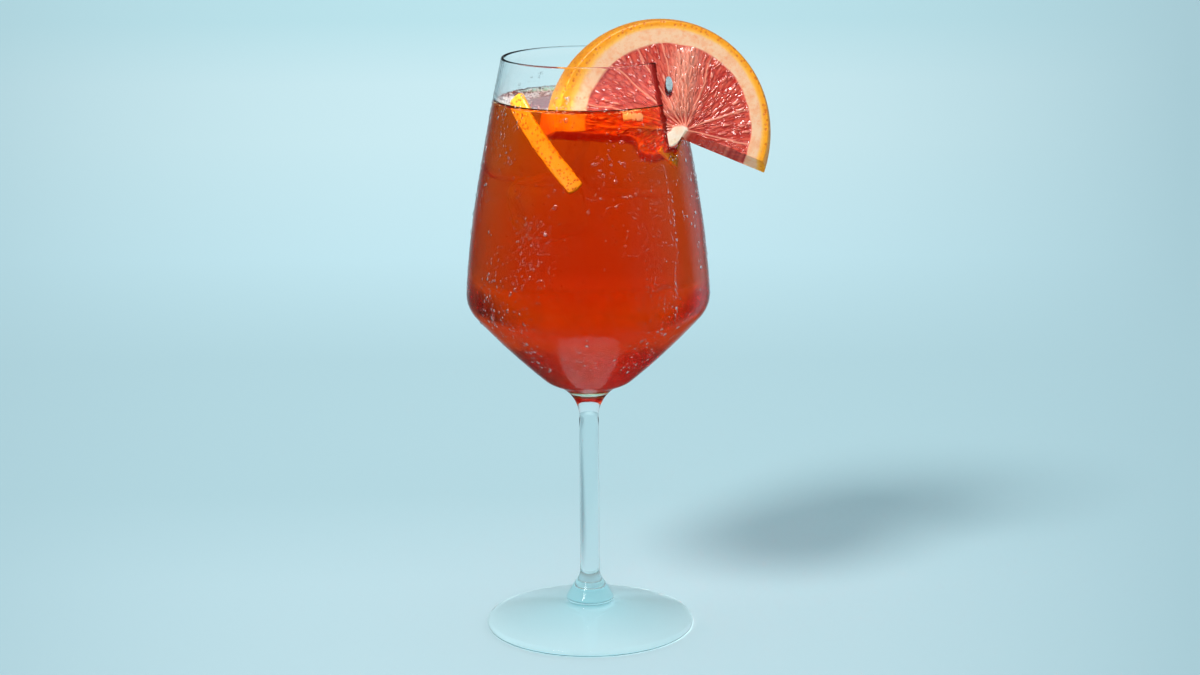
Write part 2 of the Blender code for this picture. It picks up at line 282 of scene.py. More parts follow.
# Painted light and shade: the ramp darkens the paper where it leaves the table and lightens it where it
# rises to the light.
FLOOR_PAINTED_LIGHT_STOPS = (
    # share of the ramp's length, colour
    (0.0, FLOOR_NEAR), (0.22, FLOOR_NEAR), (0.27, FLOOR_DIP_PAINTED_SHADE), (0.37, FLOOR_DIP_PAINTED_SHADE), (0.48, FLOOR_RISE_PAINTED_LIGHT),
    (0.67, FLOOR_FAR_PAINTED_LIGHT), (0.80, FLOOR_FAR_PAINTED_LIGHT), (1.0, FLOOR_END),
)
RAMP_BEFORE_GLASS = 0.5         # metres; the ramp starts so far in front of the glass
RAMP_LENGTH = 2.5
EYE_BEFORE_GLASS = 1.08
NEAREST_DEPTH = 0.6
PAINTED_SIDE_SHADE_FALL = 18.0                # how fast the paper darkens to both sides


# The paper's base colour holds painted light: the ramp along its depth, and painted shade that darkens it
# towards both sides.
def floor_colour_with_painted_light(shade):
    place = shade.place()
    sideways, depth = place.part(0), place.part(1)
    along = (depth + RAMP_BEFORE_GLASS) * (1 / RAMP_LENGTH)
    colour = along.node("ShaderNodeValToRGB", {"stops": FLOOR_PAINTED_LIGHT_STOPS}, {0: along})
    away = depth.maths("MAXIMUM", depth + EYE_BEFORE_GLASS, NEAREST_DEPTH)
    spread = away.maths("DIVIDE", sideways, away) + FLOOR_MIDDLE
    return {"Base Color": (spread * spread * PAINTED_SIDE_SHADE_FALL).clamped().mix(colour, FLOOR_SIDE_PAINTED_SHADE)}


shape = bmesh.new()
bmesh.ops.create_circle(shape, cap_ends=True, segments=96, radius=FLOOR_RADIUS)
floor = placed("table", mesh_from("table", shape, smooth=False))
floor.location.z = FLOOR_LIFT
floor.data.materials.append(new_material("pale blue paper", {"Roughness": 0.75}, floor_colour_with_painted_light))
floor.visible_glossy = False
print("table radius in m", FLOOR_RADIUS)

# %% [markdown]
# The light is soft studio light. The shadow falls to the back and to the right, so the main light
# stands in front on the left, about 43 degrees up, and the shadow's soft edge says how wide it is. A
# wide disc of light far away does that and lights the whole table alike. A panel on the right and one
# overhead show only as the pale patches that they leave on the glass.

# %% Light
KEY_TOWARDS = Vector((-0.105, -0.134, 0.157))
KEY_ANGLE = 15.0                # degrees across, as seen from the glass
KEY_STRENGTH = 2.15
KEY_COLOUR = (1.0, 0.985, 0.96)
PANEL_PLACE = Vector((930, -375, 330)) * MM
PANEL_SIZE = (1.10, 0.70)
PANEL_POWER = 1.2
TOP_PLACE = Vector((-250, -350, 1300)) * MM
TOP_SIZE = (0.5, 0.5)
TOP_POWER = 9.0


def aim(thing, target):
    """Turn a light towards a point."""
    direction = Vector(target) - thing.location
    thing.rotation_euler = direction.to_track_quat("-Z", "Y").to_euler()


def new_sun(name):
    """A copy of the main light. It isn't seen through clear things."""
    data = bpy.data.lights.new(name, "SUN")
    data.energy = KEY_STRENGTH
    data.angle = math.radians(KEY_ANGLE)
    data.color = KEY_COLOUR
    sun = placed(name, data)
    sun.visible_transmission = False
    sun.location = KEY_TOWARDS.normalized() * 2.0
    aim(sun, (0.0, 0.0, 0.0))
    return sun


def new_panel(name, place, size, power, target):
    """A flat light that only reflections show."""
    data = bpy.data.lights.new(name, "AREA")
    data.shape = "RECTANGLE"
    data.size, data.size_y = size
    data.energy = power
    panel = placed(name, data)
    panel.location = place
    panel.visible_diffuse = False
    panel.visible_transmission = False
    aim(panel, target)


key_light = new_sun("key light")
new_panel("right panel", PANEL_PLACE, PANEL_SIZE, PANEL_POWER, (0.0, 0.0, 0.18))
new_panel("top panel", TOP_PLACE, TOP_SIZE, TOP_POWER, (0.0, 0.0, 0.1))
print("key light elevation", round(math.degrees(math.asin(KEY_TOWARDS.normalized().z)), 1))

# %% [markdown]
# The world is the room, and not one real room. Through the glass, bright paper is seen behind and a
# dimmer studio in front, which draws the thin dark lines at the edges. Reflections show a nearly black
# room instead, with some low paper, a pale ceiling and a pale field at the back on the right. The
# camera itself sees only paper. Light has to get through many faces here, so it may bend very often.

# %% Room
SKY_BEHIND = (0.57, 0.77, 0.845, 1.0)
SKY_ABOVE = (0.66, 0.74, 0.78, 1.0)
STUDIO = (0.42, 0.45, 0.46, 1.0)
REFLECTED_ROOM = (0.045, 0.05, 0.055, 1.0)
REFLECTED_PAPER = (0.30, 0.42, 0.46, 1.0)
REFLECTED_ABOVE = (1.10, 1.15, 1.18, 1.0)
REFLECTED_RIGHT = (0.62, 0.60, 0.70, 1.0)


def studio_world():
    """One room for what is seen through clear things, one for reflections; the camera sees paper."""
    world = bpy.data.worlds.new("studio")
    bpy.context.scene.world = world
    world.use_nodes = True
    tree = world.node_tree
    shade = Shade(tree)
    direction = shade.node("ShaderNodeTexCoord", output=0)
    depth, height = direction.part(1), direction.part(2)
    room = depth.step(-0.35, 0.25).mix(STUDIO, SKY_BEHIND)
    room = height.step(0.45, 0.95).mix(room, SKY_ABOVE)
    sideways = direction.part(0)
    low_paper = depth.step(0.80, 0.98) * height.step(0.14, 0.02)
    reflected = low_paper.mix(REFLECTED_ROOM, REFLECTED_PAPER)
    softbox = sideways.step(0.42, 0.66) * depth.step(0.35, 0.6)
    reflected = softbox.mix(reflected, REFLECTED_RIGHT)
    reflected = height.step(0.55, 0.85).mix(reflected, REFLECTED_ABOVE)
    gloss = shade.node("ShaderNodeLightPath", output=3) * shade.node("ShaderNodeLightPath", output=5)
    direct = shade.node("ShaderNodeLightPath", output=0)
    colour = direct.mix(gloss.mix(room, reflected), SKY_BEHIND)
    background = tree.nodes["Background"]
    tree.links.new(colour.socket, background.inputs["Color"])


studio_world()
scene = bpy.context.scene
scene.view_settings.view_transform = "Standard"
scene.cycles.max_bounces = 32
scene.cycles.transmission_bounces = 28
scene.cycles.glossy_bounces = 8
scene.cycles.diffuse_bounces = 4
print("light may bounce", scene.cycles.max_bounces, "times")

# %% [markdown]
# A stemmed glass is blown and drawn from one gather, so its outline is made of arcs that meet without
# a corner: a long cone, a rounded shoulder, a belly, the underside, the neck and the stem, and then
# the bell that stands on the foot. Here a small walker follows such arcs, each given as a radius and
# a turn, and returns points on the outline. The bowl's inside is its outside, moved in by the wall.

# %% Outline of the bowl
GLASS_HEIGHT = glass_high.z
RIM_RADIUS = 31.7 * MM
RIM_THICKNESS = 1.25 * MM
BELLY_THICKNESS = 1.45 * MM
FLOOR_THICKNESS = 2.4 * MM
STEM_RADIUS = 3.7 * MM
STEM_TOP = 82 * MM
FLARE_TOP = 22 * MM
FOOT_RADIUS = 39.65 * MM
FOOT_EDGE_RADIUS = 1.4 * MM
RIM_HEADING = 12.3
WALL_ARCS = ((1082 * MM, -2.7), (351 * MM, -6.2))
SHOULDER_ARC = (11.3 * MM, -44.9)
BELLY_ARC = (268 * MM, -7.7)
UNDERSIDE_ARC = (12.2 * MM, -21.6)
NECK_ARC = (14.6 * MM, 70.8)
FLARE_ARCS = ((7 * MM, 34), (7.3 * MM, 0), (1.5 * MM, -62), (1.6 * MM, 107))
ARC_STEP = 1.5                  # degrees between points
LONGEST_STEP = 3 * MM
TURN_STEPS = 240


def walk(start, heading, moves, step=ARC_STEP, longest=LONGEST_STEP):
    """Follow tangent arcs (radius, turn) and straights (length, 0); returns (radius, z, heading)."""
    radius, z = start
    points = [(radius, z, heading)]
    for size, turn in moves:
        length = size * math.radians(abs(turn)) if turn else size
        pieces = max(1, math.ceil(abs(turn) / step), math.ceil(length / longest))
        for _ in range(pieces):
            middle = math.radians(heading + turn / pieces / 2)
            radius += length / pieces * math.sin(middle)
            z -= length / pieces * math.cos(middle)
            heading += turn / pieces
            points.append((radius, z, heading))
    return points


def inwards(point, distance):
    """The point moved square to the outline, towards the inside of the bowl."""
    radius, z, heading = point
    angle = math.radians(heading)
    return radius - distance * math.cos(angle), z - distance * math.sin(angle)


def bowl_outside():
    start = (RIM_RADIUS, GLASS_HEIGHT - RIM_THICKNESS / 2)
    return walk(start, RIM_HEADING, (*WALL_ARCS, SHOULDER_ARC, BELLY_ARC))


def wall_thickness(z, shoulder_z, floor_z):
    if z > shoulder_z:
        share = (GLASS_HEIGHT - z) / (GLASS_HEIGHT - shoulder_z)
        return RIM_THICKNESS + (BELLY_THICKNESS - RIM_THICKNESS) * share
    share = (shoulder_z - z) / (shoulder_z - floor_z)
    return BELLY_THICKNESS + (FLOOR_THICKNESS - BELLY_THICKNESS) * share


def bowl_inside(extra=0.0):
    """The bowl's inside from the rim down to the axis, moved in by extra."""
    outside = bowl_outside()
    shoulder_z = max(outside, key=lambda point: point[0])[1]
    floor_z = outside[-1][1]
    inside = [inwards(point, wall_thickness(point[1], shoulder_z, floor_z) + extra) for point in outside]
    radius, z = inside[-1]
    heading = outside[-1][2]
    floor_radius = radius / math.cos(math.radians(heading))
    bottom = walk((radius, z), heading, ((floor_radius, -90 - heading),), step=4)
    inside += [(point[0], point[1]) for point in bottom[1:-1]]
    inside.append((0.0, bottom[-1][1]))
    return inside


print("points down the outside of the bowl", len(bowl_outside()))

# %% [markdown]
# The whole outline goes once round the section of the glass: from the middle of the bowl's floor up to
# the rim, over its bead, and down the outside to the middle of the foot's underside. It is turned about
# the axis in 240 steps, which is fine enough for clean refraction.

# %% Outline of the whole glass
def rounded(middle, radius, first, last, steps):
    """Points on an arc between two angles in degrees."""
    angles = [math.radians(first + (last - first) * step / steps) for step in range(steps + 1)]
    return [(middle[0] + radius * math.cos(angle), middle[1] + radius * math.sin(angle)) for angle in angles]


def glass_outline():
    """Inside floor, up to the rim, over its bead, down the outside, the stem, the bell and the foot."""
    outline = list(reversed(bowl_inside()))
    bead = rounded((RIM_RADIUS - RIM_THICKNESS / 2, GLASS_HEIGHT - RIM_THICKNESS / 2),
                   RIM_THICKNESS / 2, 180, 0, 16)
    outline += bead[1:-1]
    bowl = bowl_outside()
    outline += [(point[0], point[1]) for point in bowl]
    neck = walk(bowl[-1][:2], bowl[-1][2], (UNDERSIDE_ARC, NECK_ARC), step=2.5)
    outline += [(point[0], point[1]) for point in neck[1:-1]]
    stem_steps = 12
    for step in range(stem_steps):
        outline.append((STEM_RADIUS, STEM_TOP + (FLARE_TOP - STEM_TOP) * step / stem_steps))
    flare = walk((STEM_RADIUS, FLARE_TOP), 0, FLARE_ARCS, step=5)
    outline += [(point[0], point[1]) for point in flare]
    slope = 90 - flare[-1][2]
    edge = rounded((FOOT_RADIUS - FOOT_EDGE_RADIUS, FOOT_EDGE_RADIUS), FOOT_EDGE_RADIUS, 90 - slope, -90, 20)
    outline.append(((flare[-1][0] + edge[0][0]) / 2, (flare[-1][1] + edge[0][1]) / 2))
    outline += edge
    outline.append((0.0, 0.0))
    return outline


def turned(outline, steps=TURN_STEPS):
    """A bmesh of the outline turned about Z; an end on the axis closes to a point."""
    shape = bmesh.new()
    rings = []
    for radius, z in outline:
        if radius < 1e-7:
            rings.append([shape.verts.new((0.0, 0.0, z))] * steps)
        else:
            angles = [2 * math.pi * step / steps for step in range(steps)]
            rings.append([shape.verts.new((radius * math.cos(a), radius * math.sin(a), z)) for a in angles])
    for upper, lower in zip(rings, rings[1:]):
        for step in range(steps):
            after = (step + 1) % steps
            corners = [upper[step], lower[step], lower[after], upper[after]]
            corners = list(dict.fromkeys(corners))
            shape.faces.new(corners)
    return shape


whole_outline = glass_outline()
highest = max(point[1] for point in whole_outline)
print("outline points", len(whole_outline), "highest", round(highest / MM, 2))

# %% [markdown]
# Clear glass has a refractive index of 1.5 and a polished face, and it takes a little red away, so that
# its thick parts look faintly green-blue. What makes it look like real glass is how it is not perfect.
# Blown glass has faint upright waves, which break up a reflection into streaks: a bump that changes
# round the glass and hardly with height does that. A little roughness in patches is the mist outside
# the cold drink. The faces reflect less than real ones. Glass and drink meet in two faces here, and each
# would reflect as if there were air between them. Like the ice, the drops and the foam, the glass casts
# no shadow, because a render would make it black where real glass lets the light through.

# %% Glass
GLASS_INDEX = 1.5
GLASS_CLEARS = (0.70, 0.90, 0.92, 1.0)
GLASS_DENSITY = 52.0            # in each metre
MIST_STARTS = (0.090, 0.104)    # the cold drink mists the outside of the bowl up to its level
MIST_ENDS = (0.207, 0.200)
MIST_LEAST = 0.09
MIST_MORE = 0.13
GLASS_TINT = 0.12


def glass_links(shade):
    place = shade.place()
    waves = place.stretched(1.0, 1.0, 0.03).grain(300.0, 4.0, 0.6)
    height = place.part(2)
    cold = height.step(*MIST_STARTS) * height.step(*MIST_ENDS)
    patches = place.stretched(1.0, 1.0, 0.4).grain(130.0, 3.0, 0.6).step(0.38, 0.66)
    return {"Normal": waves.bump(0.0001, 0.4), "Roughness": cold * (MIST_LEAST + patches * MIST_MORE)}


glass_material = clear_material("clear glass", GLASS_INDEX, GLASS_TINT, glass_links,
                                (GLASS_CLEARS, GLASS_DENSITY))
glass = new_piece("stemmed_glass", mesh_from("stemmed_glass", turned(whole_outline)), glass_material,
                  "glass")
glass.visible_shadow = False

# %% [markdown]
# The drink fills the bowl up to its level. Its skin climbs the wall by about a millimetre and a half.
# The drink's side lies a little way into the wall, so that no air gap shows between the two. Its colour
# isn't painted: a clear liquid takes light away with every millimetre, and the blue goes first and
# then the green. So a thin layer looks orange and the deep middle looks red.

# %% Drink outline
DRINK_LEVEL = drink_high.z
MENISCUS_RISE = 2.0 * MM        # at the edge, which is inside the wall; 1.4 mm of it shows
MENISCUS_REACH = 1.2 * MM
SURFACE_STEPS = 44
INTO_WALL = 0.4 * MM
DRINK_INDEX = 1.34


def surface_height(radius, edge):
    """The level in the middle, rising towards the wall."""
    return DRINK_LEVEL + MENISCUS_RISE * math.exp(-(edge - radius) / MENISCUS_REACH)


def drink_outline():
    """From the middle of the surface out to the wall, then down the inside of the bowl."""
    contact = DRINK_LEVEL + MENISCUS_RISE
    inside = bowl_inside(extra=-INTO_WALL)
    below = [point for point in inside if point[1] < contact]
    above = [point for point in inside if point[1] >= contact][-1]
    share = (above[1] - contact) / (above[1] - below[0][1])
    edge = above[0] + (below[0][0] - above[0]) * share
    radii = [edge * (1 - (1 - step / SURFACE_STEPS) ** 2) for step in range(SURFACE_STEPS + 1)]
    return [(radius, surface_height(radius, edge)) for radius in radii] + below


print("drink outline", len(drink_outline()), "points")

# %% [markdown]
# Ice in a drink is hard to see, because its refractive index, 1.31, is close to that of the drink.
# It shows as thin lines at its edges. Each cube is made twice: once as a hollow in the drink, and once
# as a solid that reaches a hair into the drink all round. The ray then bends much as it does between
# drink and ice. Real ice takes no colour away and would stand out pale. Here it gets nearly the drink's
# colour and a weaker reflection, which aren't real, and keep it faint. A cube is rounded by melting:
# it starts as a cube, is pushed part of the way to a ball, and gets a slow unevenness.

# %% Ice
ICE_INDEX = 1.31
ICE_OVERLAP = 0.04 * MM
DRINK_DENSITY = 300.0           # in each metre
DRINK_CLEARS = (1.0, 0.862, 0.0, 1.0)
ICE_DENSITY = 270.0             # a little clearer than the drink
ICE_TINT = 0.3
ICE_CUBES = (
    # middle in mm, size in mm, turns in degrees
    ((13.5, 6.5, 183.5), (26, 24, 33), (4, 8, 20)),
    ((-15.0, 6.0, 185.5), (26, 26, 28), (-8, 6, -25)),
    ((-12.5, -14.5, 166.0), (22, 20, 21), (10, -14, 15)),
)
ICE_SQUARENESS = 4.5
ICE_UNEVEN = 0.8 * MM
ICE_CUTS = 26
ICE_SEED_STEP = 3.7


def ice_cube(shape, middle, size, turns, seed, grow=0.0):
    """Add a melted cube to a bmesh."""
    known = len(shape.verts)
    made = bmesh.ops.create_cube(shape, size=2.0)
    edges = list({edge for vertex in made["verts"] for edge in vertex.link_edges})
    bmesh.ops.subdivide_edges(shape, edges=edges, cuts=ICE_CUTS, use_grid_fill=True)
    shape.verts.ensure_lookup_table()
    turn = Euler([math.radians(angle) for angle in turns]).to_matrix()
    for vertex in shape.verts[known:]:
        reach = sum(abs(part) ** ICE_SQUARENESS for part in vertex.co) ** (1 / ICE_SQUARENESS)
        point = vertex.co / reach
        place = Vector([part * side / 2 for part, side in zip(point, size)]) * MM
        swell = noise.noise(place / (7 * MM) + Vector((seed, 0, 0))) * ICE_UNEVEN
        swell += noise.noise(place / (2.5 * MM) + Vector((0, seed, 0))) * ICE_UNEVEN * 0.25
        place += point.normalized() * (swell + grow)
        vertex.co = turn @ place + Vector(middle) * MM


def ice_shape(grow=0.0):
    """A bmesh of all the cubes, each grown by a distance."""
    shape = bmesh.new()
    for number, (middle, size, turns) in enumerate(ICE_CUBES):
        ice_cube(shape, middle, size, turns, number * ICE_SEED_STEP, grow)
    bmesh.ops.recalc_face_normals(shape, faces=shape.faces)
    return shape


ice_material = clear_material("clear ice", ICE_INDEX, ICE_TINT, takes=(DRINK_CLEARS, ICE_DENSITY))
ice = new_piece("ice_cubes", mesh_from("ice_cubes", ice_shape(ICE_OVERLAP)), ice_material)
ice.visible_shadow = False

# %% [markdown]
# The drink sparkles. Gas bubbles are hollows too, tiny balls of air that cling to the fruit and to the
# wall and hang in the drink. Hundreds of small balls are needed, here and for the water drops later,
# so they are made as plain lists of points and faces, which is much quicker than a call for each.

# %% Bubbles as small balls
def ball_form(sides, rings):
    """Points and faces of a ball of radius 1, with its poles on Z."""
    points = [(0.0, 0.0, 1.0)]
    for ring in range(1, rings):
        tilt = math.pi * ring / rings
        for side in range(sides):
            turn = 2 * math.pi * side / sides
            across = math.sin(tilt)
            points.append((across * math.cos(turn), across * math.sin(turn), math.cos(tilt)))
    points.append((0.0, 0.0, -1.0))
    faces = [(0, 1 + side, 1 + (side + 1) % sides) for side in range(sides)]
    for ring in range(rings - 2):
        upper = 1 + ring * sides
        for side in range(sides):
            after = (side + 1) % sides
            faces.append((upper + side, upper + sides + side, upper + sides + after, upper + after))
    last = len(points) - 1
    faces += [(last, last - sides + (side + 1) % sides, last - sides + side) for side in range(sides)]
    return points, faces


def balls_mesh(name, places, form):
    """One mesh of many balls. Each place is a 4x4 matrix that puts the unit ball where it goes."""
    points, faces = form
    all_points = []
    all_faces = []
    for place in places:
        first = len(all_points)
        all_points += [place @ Vector(point) for point in points]
        all_faces += [[first + corner for corner in face] for face in faces]
    mesh = bpy.data.meshes.new(name)
    mesh.from_pydata(all_points, [], all_faces)
    mesh.shade_smooth()
    return mesh


def ball_place(middle, radius):
    return Matrix.Translation(middle) @ Matrix.Scale(radius, 4)


BUBBLE_FORM = ball_form(8, 6)
BUBBLE_COUNT = 260
BUBBLE_LOW = 112 * MM
BUBBLE_HIGH = 200 * MM
BUBBLE_SIZES = (0.12, 0.3)      # radius in mm
BUBBLE_ROOM = 36 * MM           # the bowl's free radius at its widest
BOWL_FLOOR = 94 * MM
CONE_HEIGHT = 50 * MM
draw = random.Random(11)
bubble_places = []
for _ in range(BUBBLE_COUNT):
    angle = draw.uniform(0, 2 * math.pi)
    z = draw.uniform(BUBBLE_LOW, BUBBLE_HIGH)
    room = BUBBLE_ROOM * min(1.0, 0.25 + (z - BOWL_FLOOR) / CONE_HEIGHT)
    radius = draw.uniform(0.3, 0.93) * room
    middle = Vector((radius * math.cos(angle), radius * math.sin(angle), z))
    bubble_places.append(ball_place(middle, draw.uniform(*BUBBLE_SIZES) * MM))
print("bubbles", len(bubble_places))

# %% [markdown]
# The drink is now put together: the turned filling, with the hollows of the ice and of the bubbles.
# The faces of a hollow look into it, away from the liquid, as the outer faces look away from it. The
# colour comes from absorption in the volume behind the faces. A real drink has no face of its own
# against the wall, so these faces are told to reflect as little as they can.

# %% Drink
DRINK_TINT = 0.0
hollow_shape = ice_shape()
hollow_shape.from_mesh(balls_mesh("bubbles", bubble_places, BUBBLE_FORM))
bmesh.ops.recalc_face_normals(hollow_shape, faces=hollow_shape.faces)
bmesh.ops.reverse_faces(hollow_shape, faces=hollow_shape.faces)
drink_shape = turned(drink_outline())
bmesh.ops.recalc_face_normals(drink_shape, faces=drink_shape.faces)
drink_shape.from_mesh(mesh_from("hollows", hollow_shape))
drink_material = clear_material("clear orange drink", DRINK_INDEX, DRINK_TINT,
                                takes=(DRINK_CLEARS, DRINK_DENSITY))
new_piece("drink_filling", mesh_from("drink_filling", drink_shape), drink_material, "drink")

# %% [markdown]
# The grapefruit is half of a round slice, hung over the rim by a slot. Its cut face is what everyone
# looks at: an orange skin, a speckled pith, segments between pale membranes, and inside each segment
# long juice cells that point at the core. Such a face could be carved from a bump alone, but its
# outline and its wet glints would stay flat. So the face is a fine grid of rings and columns about the
# core, and every point is raised or sunk by rules that know the anatomy.

# %% Slice outline
SLICE_PLACE = Vector((25.8, -13.3, 192.0)) * MM
SLICE_TURN = 5.0                # degrees about Z: the left end comes forward
SLICE_LEAN = 5.4                # degrees that the top leans away
SLICE_THICKNESS = 9.6 * MM
BACK_RADII = (41.6 * MM, 42.8 * MM)
FRONT_RADII = (38.6 * MM, 38.8 * MM)
FRONT_SHIFT = (1.0 * MM, 3.5 * MM)
RIND_EDGE_ROUNDING = 0.9 * MM
RIND_BULGE = 0.35 * MM
RIGHT_END_ANGLE = -19.2
LEFT_END_ANGLE = 180.5
CORE_PLACE = (8.0 * MM, -0.6 * MM)
MEMBRANE_ANGLES = (14, 57, 76, 95, 113, 132, 161)
FLESH_MIDDLE = (3.0 * MM, 1.8 * MM)
FLESH_RADIUS = 31.0 * MM
FLESH_MOST = 0.8                # the flesh never takes more than this share of the way to the rind
LOWER_EDGE_FLESH = 0.96         # except along the cut
LOWER_EDGE = ((-30, -1.2), (-19, -2.2), (-12, -3.4), (-9.6, -8.2), (-4.5, -9.8), (1.0, -8.2), (5.2, -5.8))
ARC_COLUMNS = 300
LOWER_COLUMNS = 104
LOWER_FLESH_BLEND = 12          # columns over which the flesh reaches out to the cut edge
CUT_RAGGED = 0.35 * MM
CUT_GRAIN = 1.6 * MM


def arc_point(angle, depth, grow=0.0):
    """A point of the rind at a depth from 0, the back, to 1, the front."""
    radii = [back + (front - back) * depth + grow for back, front in zip(BACK_RADII, FRONT_RADII)]
    return Vector((FRONT_SHIFT[0] * depth + radii[0] * math.cos(math.radians(angle)),
                   FRONT_SHIFT[1] * depth + radii[1] * math.sin(math.radians(angle))))


def curve_through(points, share):
    """A smooth curve through points, for a share from 0 to 1 of their number."""
    place = share * (len(points) - 1)
    index = min(int(place), len(points) - 2)
    t = place - index
    before = points[max(index - 1, 0)]
    first, last = points[index], points[index + 1]
    after = points[min(index + 2, len(points) - 1)]
    return (first * 2 + (last - before) * t + (before * 2 - first * 5 + last * 4 - after) * t ** 2
            + (first * 3 - before - last * 3 + after) * t ** 3) / 2


def slice_outline(depth, grow=0.0):
    """The slice's edge from the right end of the rind, over the top, and back along the torn cut."""
    angles = [RIGHT_END_ANGLE + (LEFT_END_ANGLE - RIGHT_END_ANGLE) * column / (ARC_COLUMNS - 1)
              for column in range(ARC_COLUMNS)]
    edge = [arc_point(angle, depth, grow) for angle in angles]
    shift = Vector(FRONT_SHIFT) * depth
    stops = [edge[-1]] + [Vector(point) * MM + shift for point in LOWER_EDGE]
    for column in range(1, LOWER_COLUMNS + 1):
        point = curve_through(stops, column / LOWER_COLUMNS)
        rough = noise.noise(Vector((point.x, depth * 4 * MM, point.y)) / CUT_GRAIN) * CUT_RAGGED
        edge.append(point - Vector((0, grow + rough)))
    return edge


print("columns round the slice", len(slice_outline(0.5)))

# %% [markdown]
# The relief is a sum of simple parts. Where a point lies between its two membranes gives the segment.
# In the segment's own directions, stretched Voronoi cells make the juice sacs: a point near the edge of
# a cell is low, a point at its middle is high. Membranes and pith stand level with the cut, the white
# core rises a little, and one torn bulge runs up from it. The same numbers are kept at each point of
# the mesh, and the material reads its colours from them, so colour and shape always agree.

# %% Relief of the cut face
FLESH_SINK = 0.75 * MM
CELL_RISE = 1.25 * MM
CELL_LENGTH = 3.6 * MM
CELL_WIDTH = 1.4 * MM
CELL_WARP = 0.36
MEMBRANE_HALF_WIDTH = 0.14 * MM
MEMBRANE_BLEND = 0.4 * MM
FIRST_MEMBRANE = -14            # degrees about the core; these close the fan of segments at both ends
LAST_MEMBRANES = (176, 262)
CORE_RISE = 0.9 * MM
CORE_SIZES = (5.6 * MM, 4.4 * MM)
CORE_MIDDLE = (5.6 * MM, -3.2 * MM)
TORN_LINE = ((5.5 * MM, 3 * MM), (9 * MM, 31 * MM))
TORN_HALF_WIDTH = 4.8 * MM
TORN_RISE = 2.1 * MM
SKIN_DEPTH = 3.6 * MM
SKIN_WIDENS = 1.1               # towards the left end, where the cut runs through it at a slant


def blend(value, low, high):
    """A smooth rise from 0 at low to 1 at high."""
    share = min(max((value - low) / (high - low), 0.0), 1.0)
    return share * share * (3 - 2 * share)


def ray_to_circle(start, direction, middle, radius):
    """Distance from start along direction to the circle that holds start."""
    offset = start - middle
    along = offset.dot(direction)
    return -along + math.sqrt(along ** 2 - offset.length_squared + radius ** 2)


def line_share(point, line):
    """How far along a line a point is, from 0 to 1, and how far from it."""
    first, last = Vector(line[0]), Vector(line[1])
    along = min(max((point - first).dot(last - first) / (last - first).length_squared, 0.0), 1.0)
    return along, (point - first - (last - first) * along).length


def membrane_directions():
    """Angles about the core, in radians, of the lines along which the membranes run."""
    core = Vector(CORE_PLACE)
    ends = [arc_point(angle, 0.0) - core for angle in MEMBRANE_ANGLES]
    turns = [math.atan2(end.y, end.x) for end in ends]
    return [math.radians(FIRST_MEMBRANE), *turns, *[math.radians(angle) for angle in LAST_MEMBRANES]]


MEMBRANES = membrane_directions()


def juice_cells(distance, turn, side):
    """How high a point stands on its juice cell, 0 to 1, a number of that cell, and membrane 0 to 1."""
    bent = turn + 0.05 * noise.noise(Vector((distance / (9 * MM), turn * 3, side * 7.7)))
    index = max(0, sum(1 for line in MEMBRANES if line <= bent) - 1)
    index = min(index, len(MEMBRANES) - 2)
    nearest = min(abs(bent - line) for line in MEMBRANES)
    membrane = 1 - blend(distance * nearest, MEMBRANE_HALF_WIDTH, MEMBRANE_HALF_WIDTH + MEMBRANE_BLEND)
    middle = (MEMBRANES[index] + MEMBRANES[index + 1]) / 2
    along = distance * math.cos(bent - middle)
    across = distance * math.sin(bent - middle) / (0.45 + 0.55 * along / (40 * MM))
    seed = index * 5.3 + side * 17.1
    place = Vector((along / CELL_LENGTH, across / CELL_WIDTH, seed))
    place.x += CELL_WARP * noise.noise(place * 1.3 + Vector((0, 0, 9)))
    place.y += CELL_WARP * 1.8 * noise.noise(Vector((place.x * 0.9, place.y * 0.5, seed + 4)))
    distances, points = noise.voronoi(place)
    near = distances[0] / max(distances[1], 1e-6)
    own = noise.cell(points[0] * 31.7)
    return (1 - near * near) ** 0.7, own, membrane


print("segments", len(MEMBRANES) - 1)

# %% [markdown]
# One function now answers for a single point: how high it stands over the cut, and which numbers its
# material needs. Everything fades out at the edge of the face, so that it meets the rind smoothly.

